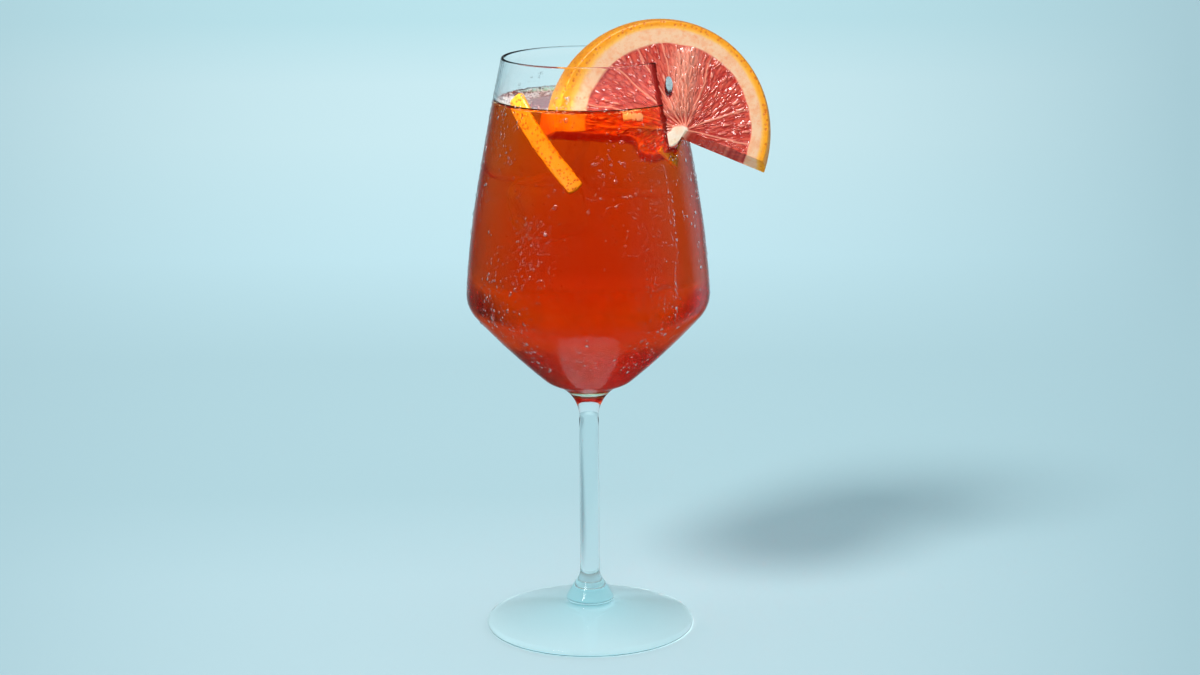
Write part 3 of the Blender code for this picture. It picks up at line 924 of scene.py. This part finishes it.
# %% Height at a point of the face
def face_point(u, v, distance, flesh, reach, turn, front):
    """Height over the cut plane and the stored numbers at one point of a face."""
    side = 1 if front else 2
    cell, own, membrane = juice_cells(distance, turn, side)
    flat = Vector((u - FRONT_SHIFT[0] * front, v - FRONT_SHIFT[1] * front))
    away = Vector(((flat.x - CORE_MIDDLE[0]) / CORE_SIZES[0], (flat.y - CORE_MIDDLE[1]) / CORE_SIZES[1]))
    ragged = 0.16 * noise.noise(Vector((flat.x, flat.y, side)) / (2.2 * MM))
    core = 1 - blend(away.length + ragged, 0.75, 1.15)
    wander = 0.5 * MM * noise.noise(Vector((turn * 5, side * 3.1, 0.5)))
    pith = blend(distance - flesh + wander, -0.5 * MM, 0.35 * MM)
    pale = max(pith, core, membrane * 0.75)
    along, off = line_share(flat, TORN_LINE)
    torn = front * math.exp(-(off / TORN_HALF_WIDTH) ** 2)
    torn *= blend(along, 0.0, 0.15)
    torn *= 1 - blend(along, 0.85, 1.0)
    uneven = noise.noise(Vector((u, v, side * 9 * MM)) / (0.9 * MM)) * 0.08 * MM
    uneven += noise.noise(Vector((u, v, side * 9 * MM)) / (5 * MM)) * 0.25 * MM
    sunk = -FLESH_SINK + CELL_RISE * cell * (0.55 + 0.45 * own)
    height = sunk * (1 - pale) + uneven * (1 - pith * 0.5) + CORE_RISE * core * 0.8
    height += torn * TORN_RISE * (0.55 + 0.45 * cell) * (1 - pith)
    height *= 1 - blend(distance, reach - 1.4 * MM, reach - 0.2 * MM)
    skin_depth = SKIN_DEPTH * (1 + SKIN_WIDENS * blend(turn, 1.9, 2.9))
    skin = blend(distance, reach - skin_depth, reach - 0.25 * MM)
    return height, (cell, own, pale, core, torn * (1 - pith), skin)


core_height, core_numbers = face_point(*CORE_PLACE, 0.0, 1.0, 1.0, 1.5, 0.0)
print("core stands up by", round(core_height / MM, 2), "mm; numbers kept", len(core_numbers))

# %% [markdown]
# The slice itself is a loft. Each of its two faces is a grid from the core out to the edge. A band of
# thirteen steps with rounded corners joins the faces round the rind, and two flat grids close the cut
# from the core outwards.

# %% Grapefruit slice, uncut
FLESH_ROWS = 62
PITH_ROWS = 13
EDGE_ROWS = 3
BAND_STEPS = 13
TURN_WRAPS_AT = -0.5            # radians; directions below this count on from the left end
RIND_MARGIN = 0.5 * MM


def slice_grid():
    """Points, faces and stored numbers of the uncut slice, in its own plane."""
    points, stored, faces = [], [], []
    columns = ARC_COLUMNS + LOWER_COLUMNS
    inset = RIND_EDGE_ROUNDING / 2

    def add(u, v, depth, numbers):
        points.append(Vector((u, -depth, v)))
        stored.append(numbers)
        return len(points) - 1

    def face_rows(depth, outward):
        shift = Vector(FRONT_SHIFT) * depth
        core = Vector(CORE_PLACE) + shift
        middle = Vector(FLESH_MIDDLE) + shift
        level = depth * SLICE_THICKNESS
        edge = slice_outline(depth, -inset)
        height, numbers = face_point(core.x, core.y, 0.0, 1.0, 1.0, 1.5, depth)
        centre = add(core.x, core.y, level + outward * height, numbers)
        rows = []
        for row in range(1, FLESH_ROWS + PITH_ROWS + EDGE_ROWS + 1):
            line = []
            for column, rim in enumerate(edge):
                reach = (rim - core).length
                direction = (rim - core) / reach
                turn = math.atan2(direction.y, direction.x)
                if turn < TURN_WRAPS_AT:
                    turn += 2 * math.pi
                flesh = min(ray_to_circle(core, direction, middle, FLESH_RADIUS), reach * FLESH_MOST)
                cut_share = blend(column, ARC_COLUMNS - 1, ARC_COLUMNS + LOWER_FLESH_BLEND)
                flesh += (reach * LOWER_EDGE_FLESH - flesh) * cut_share
                last = reach - RIND_MARGIN * (1 - cut_share * 0.7)
                if row <= FLESH_ROWS:
                    distance = flesh * row / FLESH_ROWS
                elif row <= FLESH_ROWS + PITH_ROWS:
                    distance = flesh + (last - flesh) * (row - FLESH_ROWS) / PITH_ROWS
                else:
                    distance = last + (reach - last) * (row - FLESH_ROWS - PITH_ROWS) / EDGE_ROWS
                place = core + direction * distance
                height, numbers = face_point(place.x, place.y, distance, flesh, reach, turn, depth)
                if cut_share:
                    cell, own, pale, white, torn, skin = numbers
                    pale = max(pale * (1 - 0.6 * cut_share), white)
                    numbers = (cell, own, pale, white, torn, skin * (1 - cut_share))
                line.append(add(place.x, place.y, level + outward * height, numbers))
            rows.append(line)
        return centre, rows

    back_centre, back = face_rows(0.0, -1)
    front_centre, front = face_rows(1.0, 1)
    rounding = RIND_EDGE_ROUNDING / SLICE_THICKNESS
    band, axis = [], []
    for step in range(1, BAND_STEPS):
        share = step / BAND_STEPS
        depth = 0.5 - math.cos(share * math.pi) / 2 * (0.72 + 0.28 * abs(math.cos(share * math.pi)))
        near = min(depth, 1 - depth)
        corner = math.sqrt(max(0.0, 1 - (1 - min(near / rounding, 1.0)) ** 2))
        grow = -inset + inset * corner + RIND_BULGE * math.sin(math.pi * depth)
        line = []
        for column, rim in enumerate(slice_outline(depth, grow)):
            cut_share = blend(column, ARC_COLUMNS - 2, ARC_COLUMNS + 3)
            cell = 0.5 + 0.5 * noise.noise(Vector((rim.x, depth * 9 * MM, rim.y)) / (1.5 * MM))
            numbers = (cell, 0.5, 0.25 * cut_share, 0, 0, 1 - cut_share)
            line.append(add(rim.x, rim.y, depth * SLICE_THICKNESS, numbers))
        band.append(line)
        core = Vector(CORE_PLACE) + Vector(FRONT_SHIFT) * depth
        axis.append(add(core.x, core.y, depth * SLICE_THICKNESS, (0.5, 0.5, 1, 1, 0, 0)))

    for centre, rows, flip in ((back_centre, back, True), (front_centre, front, False)):
        for column in range(columns - 1):
            corners = [centre, rows[0][column], rows[0][column + 1]]
            faces.append(corners[::-1] if flip else corners)
            for inner, outer in zip(rows, rows[1:]):
                corners = [inner[column], outer[column], outer[column + 1], inner[column + 1]]
                faces.append(corners[::-1] if flip else corners)
    rings = [back[-1]] + band + [front[-1]]
    for lower, upper in zip(rings, rings[1:]):
        for column in range(columns - 1):
            faces.append([lower[column], lower[column + 1], upper[column + 1], upper[column]])
    for column, flip in ((0, False), (columns - 1, True)):
        previous = [back_centre] + axis + [front_centre]
        for row in range(len(back)):
            if row == len(back) - 1:
                inner = [line[column] for line in band]
            else:
                inner = []
                for step in range(1, BAND_STEPS):
                    depth = -points[axis[step - 1]].y / SLICE_THICKNESS
                    place = points[back[row][column]].lerp(points[front[row][column]], depth)
                    numbers = stored[front[row][column]]
                    rough = noise.noise(place / (1.4 * MM)) * 0.25 * MM
                    place = place + Vector((0, 0, rough + 0.15 * MM)) * (1 if column == 0 else -1)
                    inner.append(add(place.x, place.z, depth * SLICE_THICKNESS, numbers))
            current = [back[row][column]] + inner + [front[row][column]]
            for step in range(BAND_STEPS):
                corners = [previous[step], current[step], current[step + 1], previous[step + 1]]
                faces.append(corners[::-1] if flip else corners)
            previous = current
    return points, faces, stored


slice_points, slice_faces, slice_stored = slice_grid()
print("uncut slice", len(slice_points), "points")

# %% [markdown]
# A boolean opens the slot for the wall of the glass and the small tear beside it. It is applied at
# once, so that the mesh is one closed form. The numbers that the points keep come through it.

# %% Slot and tear
STORED_NUMBERS = ("cell", "own", "pale", "core", "torn", "skin")
SLOT_GAP = 0.08 * MM
TEAR_PLACE = Vector((29.6, -15.0, 212.2)) * MM
TEAR_RADII = (1.5 * MM, 3.7 * MM)
TEAR_LENGTH = 40 * MM
TEAR_DIP = 8.0                  # degrees below level, the way the tear runs through the slice
SMOOTH_BELOW = 55               # degrees; sharper edges stay sharp


def slot_outline():
    """A closed band round the upper wall, a little wider than the wall on both sides."""
    outside = [point for point in bowl_outside() if point[1] > 160 * MM]
    outer = [inwards(point, -SLOT_GAP) for point in outside]
    inner = [inwards(point, BELLY_THICKNESS + SLOT_GAP) for point in outside]
    top = GLASS_HEIGHT + SLOT_GAP
    outer[0] = (outer[0][0], top)
    inner[0] = (inner[0][0], top)
    return inner[:1] + outer + list(reversed(inner[1:])) + inner[:1]


def object_of(name, shape):
    """An object from a bmesh, for the boolean."""
    mesh = bpy.data.meshes.new(name)
    bmesh.ops.remove_doubles(shape, verts=shape.verts, dist=1e-7)
    bmesh.ops.recalc_face_normals(shape, faces=shape.faces)
    shape.to_mesh(mesh)
    shape.free()
    return placed(name, mesh)


def tear_rod():
    """An oval rod that runs through the slice where it is torn."""
    shape = bmesh.new()
    turn = Matrix.Rotation(math.radians(90 + TEAR_DIP), 4, "X")
    form = Matrix.Translation(TEAR_PLACE) @ turn @ Matrix.Diagonal((*TEAR_RADII, 1.0, 1.0))
    bmesh.ops.create_cone(shape, cap_ends=True, segments=28, radius1=1.0, radius2=1.0, depth=TEAR_LENGTH,
                          matrix=form)
    return object_of("tear rod", shape)


def cut_away(target, cutter):
    """Cut one object from another and keep the result as plain mesh data."""
    modifier = target.modifiers.new("cut", "BOOLEAN")
    modifier.operation = "DIFFERENCE"
    modifier.solver = "MANIFOLD"
    modifier.object = cutter
    bpy.context.view_layer.update()
    evaluated = target.evaluated_get(bpy.context.evaluated_depsgraph_get())
    result = bpy.data.meshes.new_from_object(evaluated)
    result.materials.clear()
    target.modifiers.clear()
    target.data = result
    bpy.data.objects.remove(cutter, do_unlink=True)


slice_mesh = bpy.data.meshes.new("grapefruit_half_slice")
turn = Euler((math.radians(-SLICE_LEAN), 0.0, math.radians(SLICE_TURN))).to_matrix()
slice_mesh.from_pydata([turn @ point + SLICE_PLACE for point in slice_points], [], slice_faces)
for number, name in enumerate(STORED_NUMBERS):
    store(slice_mesh, name, [numbers[number] for numbers in slice_stored])
half_slice = placed("half slice", slice_mesh)
cut_away(half_slice, object_of("slot band", turned(slot_outline())))
cut_away(half_slice, tear_rod())
slice_mesh = half_slice.data
bpy.data.objects.remove(half_slice, do_unlink=True)
slice_mesh.shade_smooth()
slice_mesh.set_sharp_from_angle(angle=math.radians(SMOOTH_BELOW))
print("cut slice", len(slice_mesh.vertices), "points")

# %% [markdown]
# The flesh is wet and deep red. Its red is darker in the grooves between juice cells and lighter on
# the crowns, which is painted shade, and pale pink spots on the crowns are painted highlights, with
# each juice cell a little different. The torn bulge is paler pink, partly its own colour and partly
# painted highlight. Pith and membranes are creamy pink and dull. The skin is a strong orange, glossy,
# with the small pits of its oil glands. A little light sinks into all of it.

# %% Grapefruit colours
FLESH_GROOVE_PAINTED_SHADE = (0.46, 0.018, 0.016, 1.0)
FLESH_CROWN = (0.76, 0.11, 0.07, 1.0)
FLESH_PINK_TORN_AND_GLINT = (0.90, 0.32, 0.22, 1.0)
MEMBRANE_PINK = (0.84, 0.25, 0.16, 1.0)
PITH_CREAM = (0.88, 0.53, 0.32, 1.0)
PITH_SPECK = (0.86, 0.34, 0.16, 1.0)
CORE_WHITE = (0.94, 0.74, 0.58, 1.0)
SKIN_YELLOW = (0.96, 0.46, 0.07, 1.0)
SKIN_ORANGE = (0.95, 0.35, 0.008, 1.0)
SKIN_DARK = (0.72, 0.15, 0.003, 1.0)


def grapefruit_links(shade):
    place = shade.place()
    cell, own, pale, core, torn, skin = [shade.stored(name) for name in STORED_NUMBERS]
    patches = place.grain(170.0, 3.0, 0.6)
    # Painted shade: the flesh is darker red down in the grooves between the cells and lighter on their
    # crowns.
    flesh = (cell * 1.1 + (patches - 0.5) * 0.6).clamped().mix(FLESH_GROOVE_PAINTED_SHADE, FLESH_CROWN)
    # Painted highlights: pale pink spots on the crowns of the juice cells. The torn bulge takes the same
    # pink, partly its own colour and partly painted highlight.
    torn_and_painted_glints = (cell.step(0.68, 0.96) * own.step(0.25, 0.9) * 0.9 + torn * 1.1).clamped()
    flesh = torn_and_painted_glints.mix(flesh, FLESH_PINK_TORN_AND_GLINT)
    specks = place.grain(900.0, 3.0, 0.6).step(0.52, 0.68)
    mottles = place.grain(260.0, 4.0, 0.65).step(0.42, 0.64)
    cream = (specks * 0.45 + mottles * 0.6).clamped().mix(PITH_CREAM, PITH_SPECK)
    white = core.mix(cream, (mottles * 0.5 + specks * 0.3).mix(CORE_WHITE, PITH_CREAM))
    colour = pale.step(0.2, 0.75).mix(flesh, MEMBRANE_PINK)
    colour = pale.step(0.78, 0.95).mix(colour, white)
    pores = place.cells(620.0)
    pits = pores.step(0.40, 0.16)
    orange = (pits * 0.75 + mottles * 0.35).clamped().mix(SKIN_ORANGE, SKIN_DARK)
    blotchy = (skin + (patches - 0.5) * 0.5).step(0.12, 0.62)
    colour = blotchy.mix(colour, SKIN_YELLOW)
    colour = skin.step(0.5, 1.0).mix(colour, orange)
    dull = pale.step(0.3, 0.9)
    roughness = (0.12 + dull * 0.36) * (1 - skin) + skin * 0.34
    fine = place.grain(2600.0, 2.0, 0.5) * (0.25 + dull * 0.5) * (1 - skin)
    height = fine - pits * skin * 1.4
    wet = (1 - dull) * (1 - skin) * 0.9
    return {"Base Color": colour, "Roughness": roughness, "Coat Weight": wet,
            "Normal": height.bump(0.00016, 0.7)}


grapefruit_material = new_material("grapefruit, cut and skin", {
    "IOR": 1.45, "Coat Roughness": 0.05, "Coat IOR": 1.6,
    "Subsurface Weight": 0.12, "Subsurface Radius": (1.0, 0.35, 0.2), "Subsurface Scale": 0.0025,
}, grapefruit_links)
grapefruit = new_piece("grapefruit_half_slice", slice_mesh, grapefruit_material,
                       "grapefruit_slice")

# %% [markdown]
# The strip of orange peel leans on the inside of the glass, most of it in the drink. It is cut from
# the outermost skin, so one face is glossy orange with oil pits and the other is pale pith. Its section
# is a flat, rounded shape that is carried along one bent line. That is what a curve with a bevel does
# too, but here every point also keeps how near the skin it is. A short second piece lies under the
# slice, and a scrap of pith floats just under the surface. Both are made by the same function.

# %% Peel strip
# each line: its top, the point that bends it, and its end, in mm
STRIP_LINE = ((-25.6, -15.5, 207.4), (-17.8, -28.8, 192.6), (-3.6, -36.6, 176.6))
SUNK_LINE = ((25.2, -22.6, 189.6), (28.0, -21.2, 186.4), (31.3, -17.2, 182.4))
SCRAP_LINE = ((12.4, -28.2, 201.2), (16.0, -29.0, 202.2), (19.6, -26.8, 201.0))
STRIP_WIDTH = 6.2 * MM
STRIP_THICKNESS = 2.3 * MM
STRIP_TWIST = math.radians(20)
STRIP_STEPS = 110
SECTION_STEPS = 44
SECTION_SQUARENESS = 5.0
STRIP_END_ROUNDING = 0.05       # share of the length over which an end is rounded off
SUNK_WIDTH = 4.2 * MM
SUNK_THICKNESS = 1.8 * MM
SUNK_STEPS = 50
SCRAP_WIDTH = 2.2 * MM
SCRAP_THICKNESS = 1.3 * MM
SCRAP_STEPS = 40
SCRAP_RAGGED = 1.2 * MM


def ribbon(name, line, width, thickness, steps=STRIP_STEPS, ragged=0.25 * MM):
    """A closed bent ribbon along a line of three points, with its skin on the side away from the axis."""
    top, middle, end = [Vector(point) * MM for point in line]
    points, faces, skins = [], [], []
    for step in range(steps + 1):
        along = step / steps
        here = top * (1 - along) ** 2 + middle * 2 * along * (1 - along) + end * along ** 2
        tangent = ((middle - top) * (1 - along) + (end - middle) * along).normalized()
        outward = Vector((here.x, here.y, 0.0)).normalized()
        flat_side = tangent.cross(outward).normalized()
        flat_face = flat_side.cross(tangent).normalized()
        side = flat_side * math.cos(STRIP_TWIST) + flat_face * math.sin(STRIP_TWIST)
        face = side.cross(tangent).normalized()
        near_end = min(along, 1 - along) / STRIP_END_ROUNDING
        fade = math.sqrt(max(0.0, 1 - (1 - min(near_end, 1.0)) ** 4)) * 0.98 + 0.02
        for corner in range(SECTION_STEPS):
            angle = 2 * math.pi * corner / SECTION_STEPS
            across, up = math.cos(angle), math.sin(angle)
            reach = abs(across) ** SECTION_SQUARENESS + abs(up) ** SECTION_SQUARENESS
            reach = reach ** (1 / SECTION_SQUARENESS)
            across, up = across / reach, up / reach
            edge = noise.noise(Vector((along * 14, across * 2, 3.3))) * ragged
            place = here + side * (across * (width / 2 + edge) * fade)
            place += face * (up * thickness / 2 * fade)
            points.append(place)
            skins.append(blend(up, -0.2, 0.5))
    for step in range(steps):
        first = step * SECTION_STEPS
        for corner in range(SECTION_STEPS):
            after = (corner + 1) % SECTION_STEPS
            faces.append([first + corner, first + after,
                          first + SECTION_STEPS + after, first + SECTION_STEPS + corner])
    for first, flip in ((0, True), (steps * SECTION_STEPS, False)):
        middle_point = len(points)
        points.append(sum(points[first:first + SECTION_STEPS], Vector()) / SECTION_STEPS)
        skins.append(0.3)
        for corner in range(SECTION_STEPS):
            corners = [middle_point, first + corner, first + (corner + 1) % SECTION_STEPS]
            faces.append(corners[::-1] if flip else corners)
    mesh = bpy.data.meshes.new(name)
    mesh.from_pydata(points, [], faces)
    store(mesh, "skin", skins)
    shape = bmesh.new()
    shape.from_mesh(mesh)
    bmesh.ops.recalc_face_normals(shape, faces=shape.faces)
    shape.to_mesh(mesh)
    shape.free()
    mesh.shade_smooth()
    return mesh


print("points round the strip's section", SECTION_STEPS)

# %% [markdown]
# The peel's skin is orange with dark pits, and its other side is pale. The scrap is pith alone.

# %% Peel colours and the three pieces
PEEL_ORANGE = (1.0, 0.46, 0.012, 1.0)
PEEL_DARK = (0.50, 0.11, 0.001, 1.0)
PEEL_SIDE = (0.80, 0.24, 0.02, 1.0)
PEEL_PITH = (0.90, 0.42, 0.10, 1.0)


def peel_links(shade):
    place = shade.place()
    skin = shade.stored("skin")
    pores = place.cells(800.0)
    pits = pores.step(0.36, 0.24)
    patches = place.grain(240.0, 3.0, 0.6)
    orange = (pits * 0.9 + patches * 0.2).clamped().mix(PEEL_ORANGE, PEEL_DARK)
    cream = place.grain(800.0, 3.0, 0.6).mix(PEEL_SIDE, PEEL_PITH)
    colour = skin.mix(cream, orange)
    height = place.grain(1500.0, 2.0, 0.5) * 0.25 - pits * skin
    return {"Base Color": colour, "Roughness": 0.55 - skin * 0.25, "Normal": height.bump(0.00022, 0.8)}


peel_material = new_material("orange peel", {
    "IOR": 1.45, "Subsurface Weight": 0.1, "Subsurface Radius": (1.0, 0.4, 0.1), "Subsurface Scale": 0.002,
}, peel_links)
strip_mesh = ribbon("orange_peel_strip", STRIP_LINE, STRIP_WIDTH, STRIP_THICKNESS)
strip = new_piece("orange_peel_strip", strip_mesh, peel_material, "peel_strip")
sunk_mesh = ribbon("sunk_peel_piece", SUNK_LINE, SUNK_WIDTH, SUNK_THICKNESS, SUNK_STEPS)
sunk_peel = new_piece("sunk_peel_piece", sunk_mesh, peel_material)


def scrap_links(shade):
    return {"Base Color": shade.place().grain(700.0, 3.0, 0.6).mix(PITH_SPECK, CORE_WHITE)}


scrap_material = new_material("pith scrap", {"Roughness": 0.4}, scrap_links)
scrap_mesh = ribbon("pith_scrap", SCRAP_LINE, SCRAP_WIDTH, SCRAP_THICKNESS, SCRAP_STEPS, SCRAP_RAGGED)
scrap = new_piece("pith_scrap", scrap_mesh, scrap_material)

# %% [markdown]
# Cold glass mists over, and the mist grows into drops that join and run. They aren't strewn evenly:
# they lie in patches and in upright runs, and thickest at two places on the front. Each drop is a small
# ball pressed flat on the glass. All of them are one mesh, so each ball has few sides.

# %% Water drops
DROP_FORM = ball_form(8, 5)
DROP_COUNT = 2000
DROP_LOW = 105 * MM
DROP_HIGH = 210 * MM
DROP_FLATNESS = 0.5
WATER_INDEX = 1.33
RUN_COUNT = 26
RUN_DIRECTIONS = (-0.12, 0.02, 0.1, 3.0, 3.2, 1.6, -0.8)
DENSE_PATCHES = (
    # direction in radians, spread, lowest and highest in mm
    (-2.06, 0.13, 141, 167),
    (-0.97, 0.10, 126, 193),
)
DENSE_COUNT = 260


def wall_at(z):
    """Outside radius of the bowl at a height, and how far it leans out going down, in degrees."""
    outside = bowl_outside()
    for upper, lower in zip(outside, outside[1:]):
        if upper[1] >= z > lower[1]:
            share = (upper[1] - z) / (upper[1] - lower[1])
            return upper[0] + (lower[0] - upper[0]) * share, upper[2] + (lower[2] - upper[2]) * share
    return outside[-1][0], outside[-1][2]


def on_wall(angle, z, width, height, flatness):
    """A matrix that presses a unit ball flat on the outside of the bowl."""
    radius, lean = wall_at(z)
    out = Vector((math.cos(angle), math.sin(angle), 0.0))
    tilt = math.radians(lean)
    normal = out * math.cos(tilt) + Vector((0, 0, math.sin(tilt)))
    down = out * math.sin(tilt) - Vector((0, 0, math.cos(tilt)))
    side = normal.cross(down)
    columns = Matrix((side * width, down * height, normal * (width * flatness))).transposed().to_4x4()
    return Matrix.Translation(out * radius + Vector((0, 0, z))) @ columns


draw = random.Random(23)
drop_places = []
while len(drop_places) < DROP_COUNT:
    angle = draw.uniform(0, 2 * math.pi)
    z = draw.uniform(DROP_LOW, DROP_HIGH)
    x, y = math.cos(angle), math.sin(angle)
    patch = 0.5 + 0.5 * noise.noise(Vector((x * 2.2, y * 2.2, z / (26 * MM))))
    patch += 0.25 * noise.noise(Vector((x * 9, y * 9, z / (7 * MM))))
    if draw.random() > blend(patch, 0.42, 0.8):
        continue
    size = draw.uniform(0.2, 0.42) * MM * (1.0 + 1.2 * draw.random() ** 6)
    drop_places.append(on_wall(angle, z, size, size * draw.uniform(0.95, 1.3), DROP_FLATNESS))
for run in range(RUN_COUNT):
    angle = draw.choice(RUN_DIRECTIONS) + draw.uniform(-0.12, 0.12)
    top = draw.uniform(140, 195) * MM
    for step in range(draw.randrange(6, 18)):
        z = top - step * draw.uniform(0.9, 1.6) * MM
        size = draw.uniform(0.18, 0.4) * MM
        aside = draw.uniform(-0.01, 0.01)
        drop_places.append(on_wall(angle + aside, z, size, size * 1.5, DROP_FLATNESS))
for middle, spread, low, high in DENSE_PATCHES:
    for _ in range(DENSE_COUNT):
        angle = draw.gauss(middle, spread)
        z = draw.uniform(low, high) * MM
        size = draw.uniform(0.18, 0.36) * MM
        drop_places.append(on_wall(angle, z, size, size * 1.2, DROP_FLATNESS))
water_material = clear_material("clear water", WATER_INDEX, 1.0)
drops_mesh = balls_mesh("water_drops", drop_places, DROP_FORM)
drops = new_piece("water_drops", drops_mesh, water_material)
drops.visible_shadow = False

# %% [markdown]
# Foam works alike: beads of gas and drink that float on the surface, most of them against the wall.
# Each is a ball with a low refractive index, because a bead of foam is mostly gas.

# %% Foam
FOAM_COUNT = 1100
FOAM_FORM = ball_form(8, 6)
foam_places = []
inner_radius = wall_at(DRINK_LEVEL)[0] - BELLY_THICKNESS
while len(foam_places) < FOAM_COUNT:
    angle = draw.uniform(0, 2 * math.pi)
    radius = inner_radius * math.sqrt(draw.uniform(0.05, 0.985))
    place = Vector((radius * math.cos(angle), radius * math.sin(angle), 0))
    crowd = blend(radius / inner_radius, 0.55, 0.98) * (0.35 + 0.65 * blend(-place.x, -8 * MM, 20 * MM))
    crowd *= 0.55 + 0.9 * noise.noise(place / (6 * MM))
    if draw.random() > crowd:
        continue
    size = draw.uniform(0.16, 0.42) * MM
    height = surface_height(radius, inner_radius)
    foam_places.append(ball_place(place + Vector((0, 0, height + size * 0.35)), size))
foam_material = new_material("foam", {
    "Base Color": (0.95, 0.91, 0.90, 1.0), "Roughness": 0.08, "IOR": 1.25, "Transmission Weight": 0.55})
foam = new_piece("surface_foam", balls_mesh("surface_foam", foam_places, FOAM_FORM), foam_material)
foam.visible_shadow = False

# %% [markdown]
# In a real drink the light bends its way in and reaches the fruit. A render sends its test rays for a
# lamp straight, and they stop at the drink's face, so fruit under the surface would be black. So the
# key light is there twice: one lights everything but the fruit, and its twin lights only fruit and
# counts only fruit as being in its way. The sunk peel has a twin of its own, because the slice would
# shade it from the first. A weak light from the front and below fills the shadows on the fruit.

# %% A light for the fruit
FRUIT = (grapefruit, strip, sunk_peel, scrap)
FILL_TOWARDS = Vector((-0.1, -0.8, -0.55))
FILL_STRENGTH = 0.85


def light_group(name, things, state):
    """A collection that light linking reads: it takes these things in or leaves them out."""
    group = bpy.data.collections.new(name)
    for thing in things:
        group.objects.link(thing)
    for entry in group.collection_objects:
        entry.light_linking.link_state = state
    return group


def reaches_only(light, lit_name, lit, way_name, in_the_way):
    """Let a light reach only some things, and let only some things shade them."""
    light.light_linking.receiver_collection = light_group(lit_name, lit, "INCLUDE")
    light.light_linking.blocker_collection = light_group(way_name, in_the_way, "INCLUDE")


key_light.light_linking.receiver_collection = light_group("all but the fruit", FRUIT, "EXCLUDE")
reaches_only(new_sun("fruit light"), "fruit lit", (grapefruit, strip, scrap), "fruit in the way", FRUIT)
fill_light = new_sun("fruit fill")
fill_light.data.energy = FILL_STRENGTH
fill_light.location = FILL_TOWARDS
aim(fill_light, (0.0, 0.0, 0.0))
reaches_only(fill_light, "fruit filled", (grapefruit, sunk_peel, scrap),
             "almost nothing in the way", (scrap,))
reaches_only(new_sun("sunk peel light"), "sunk peel lit", (sunk_peel,), "scrap in the way", (scrap,))
print("fruit pieces lit by their own light", len(FRUIT))
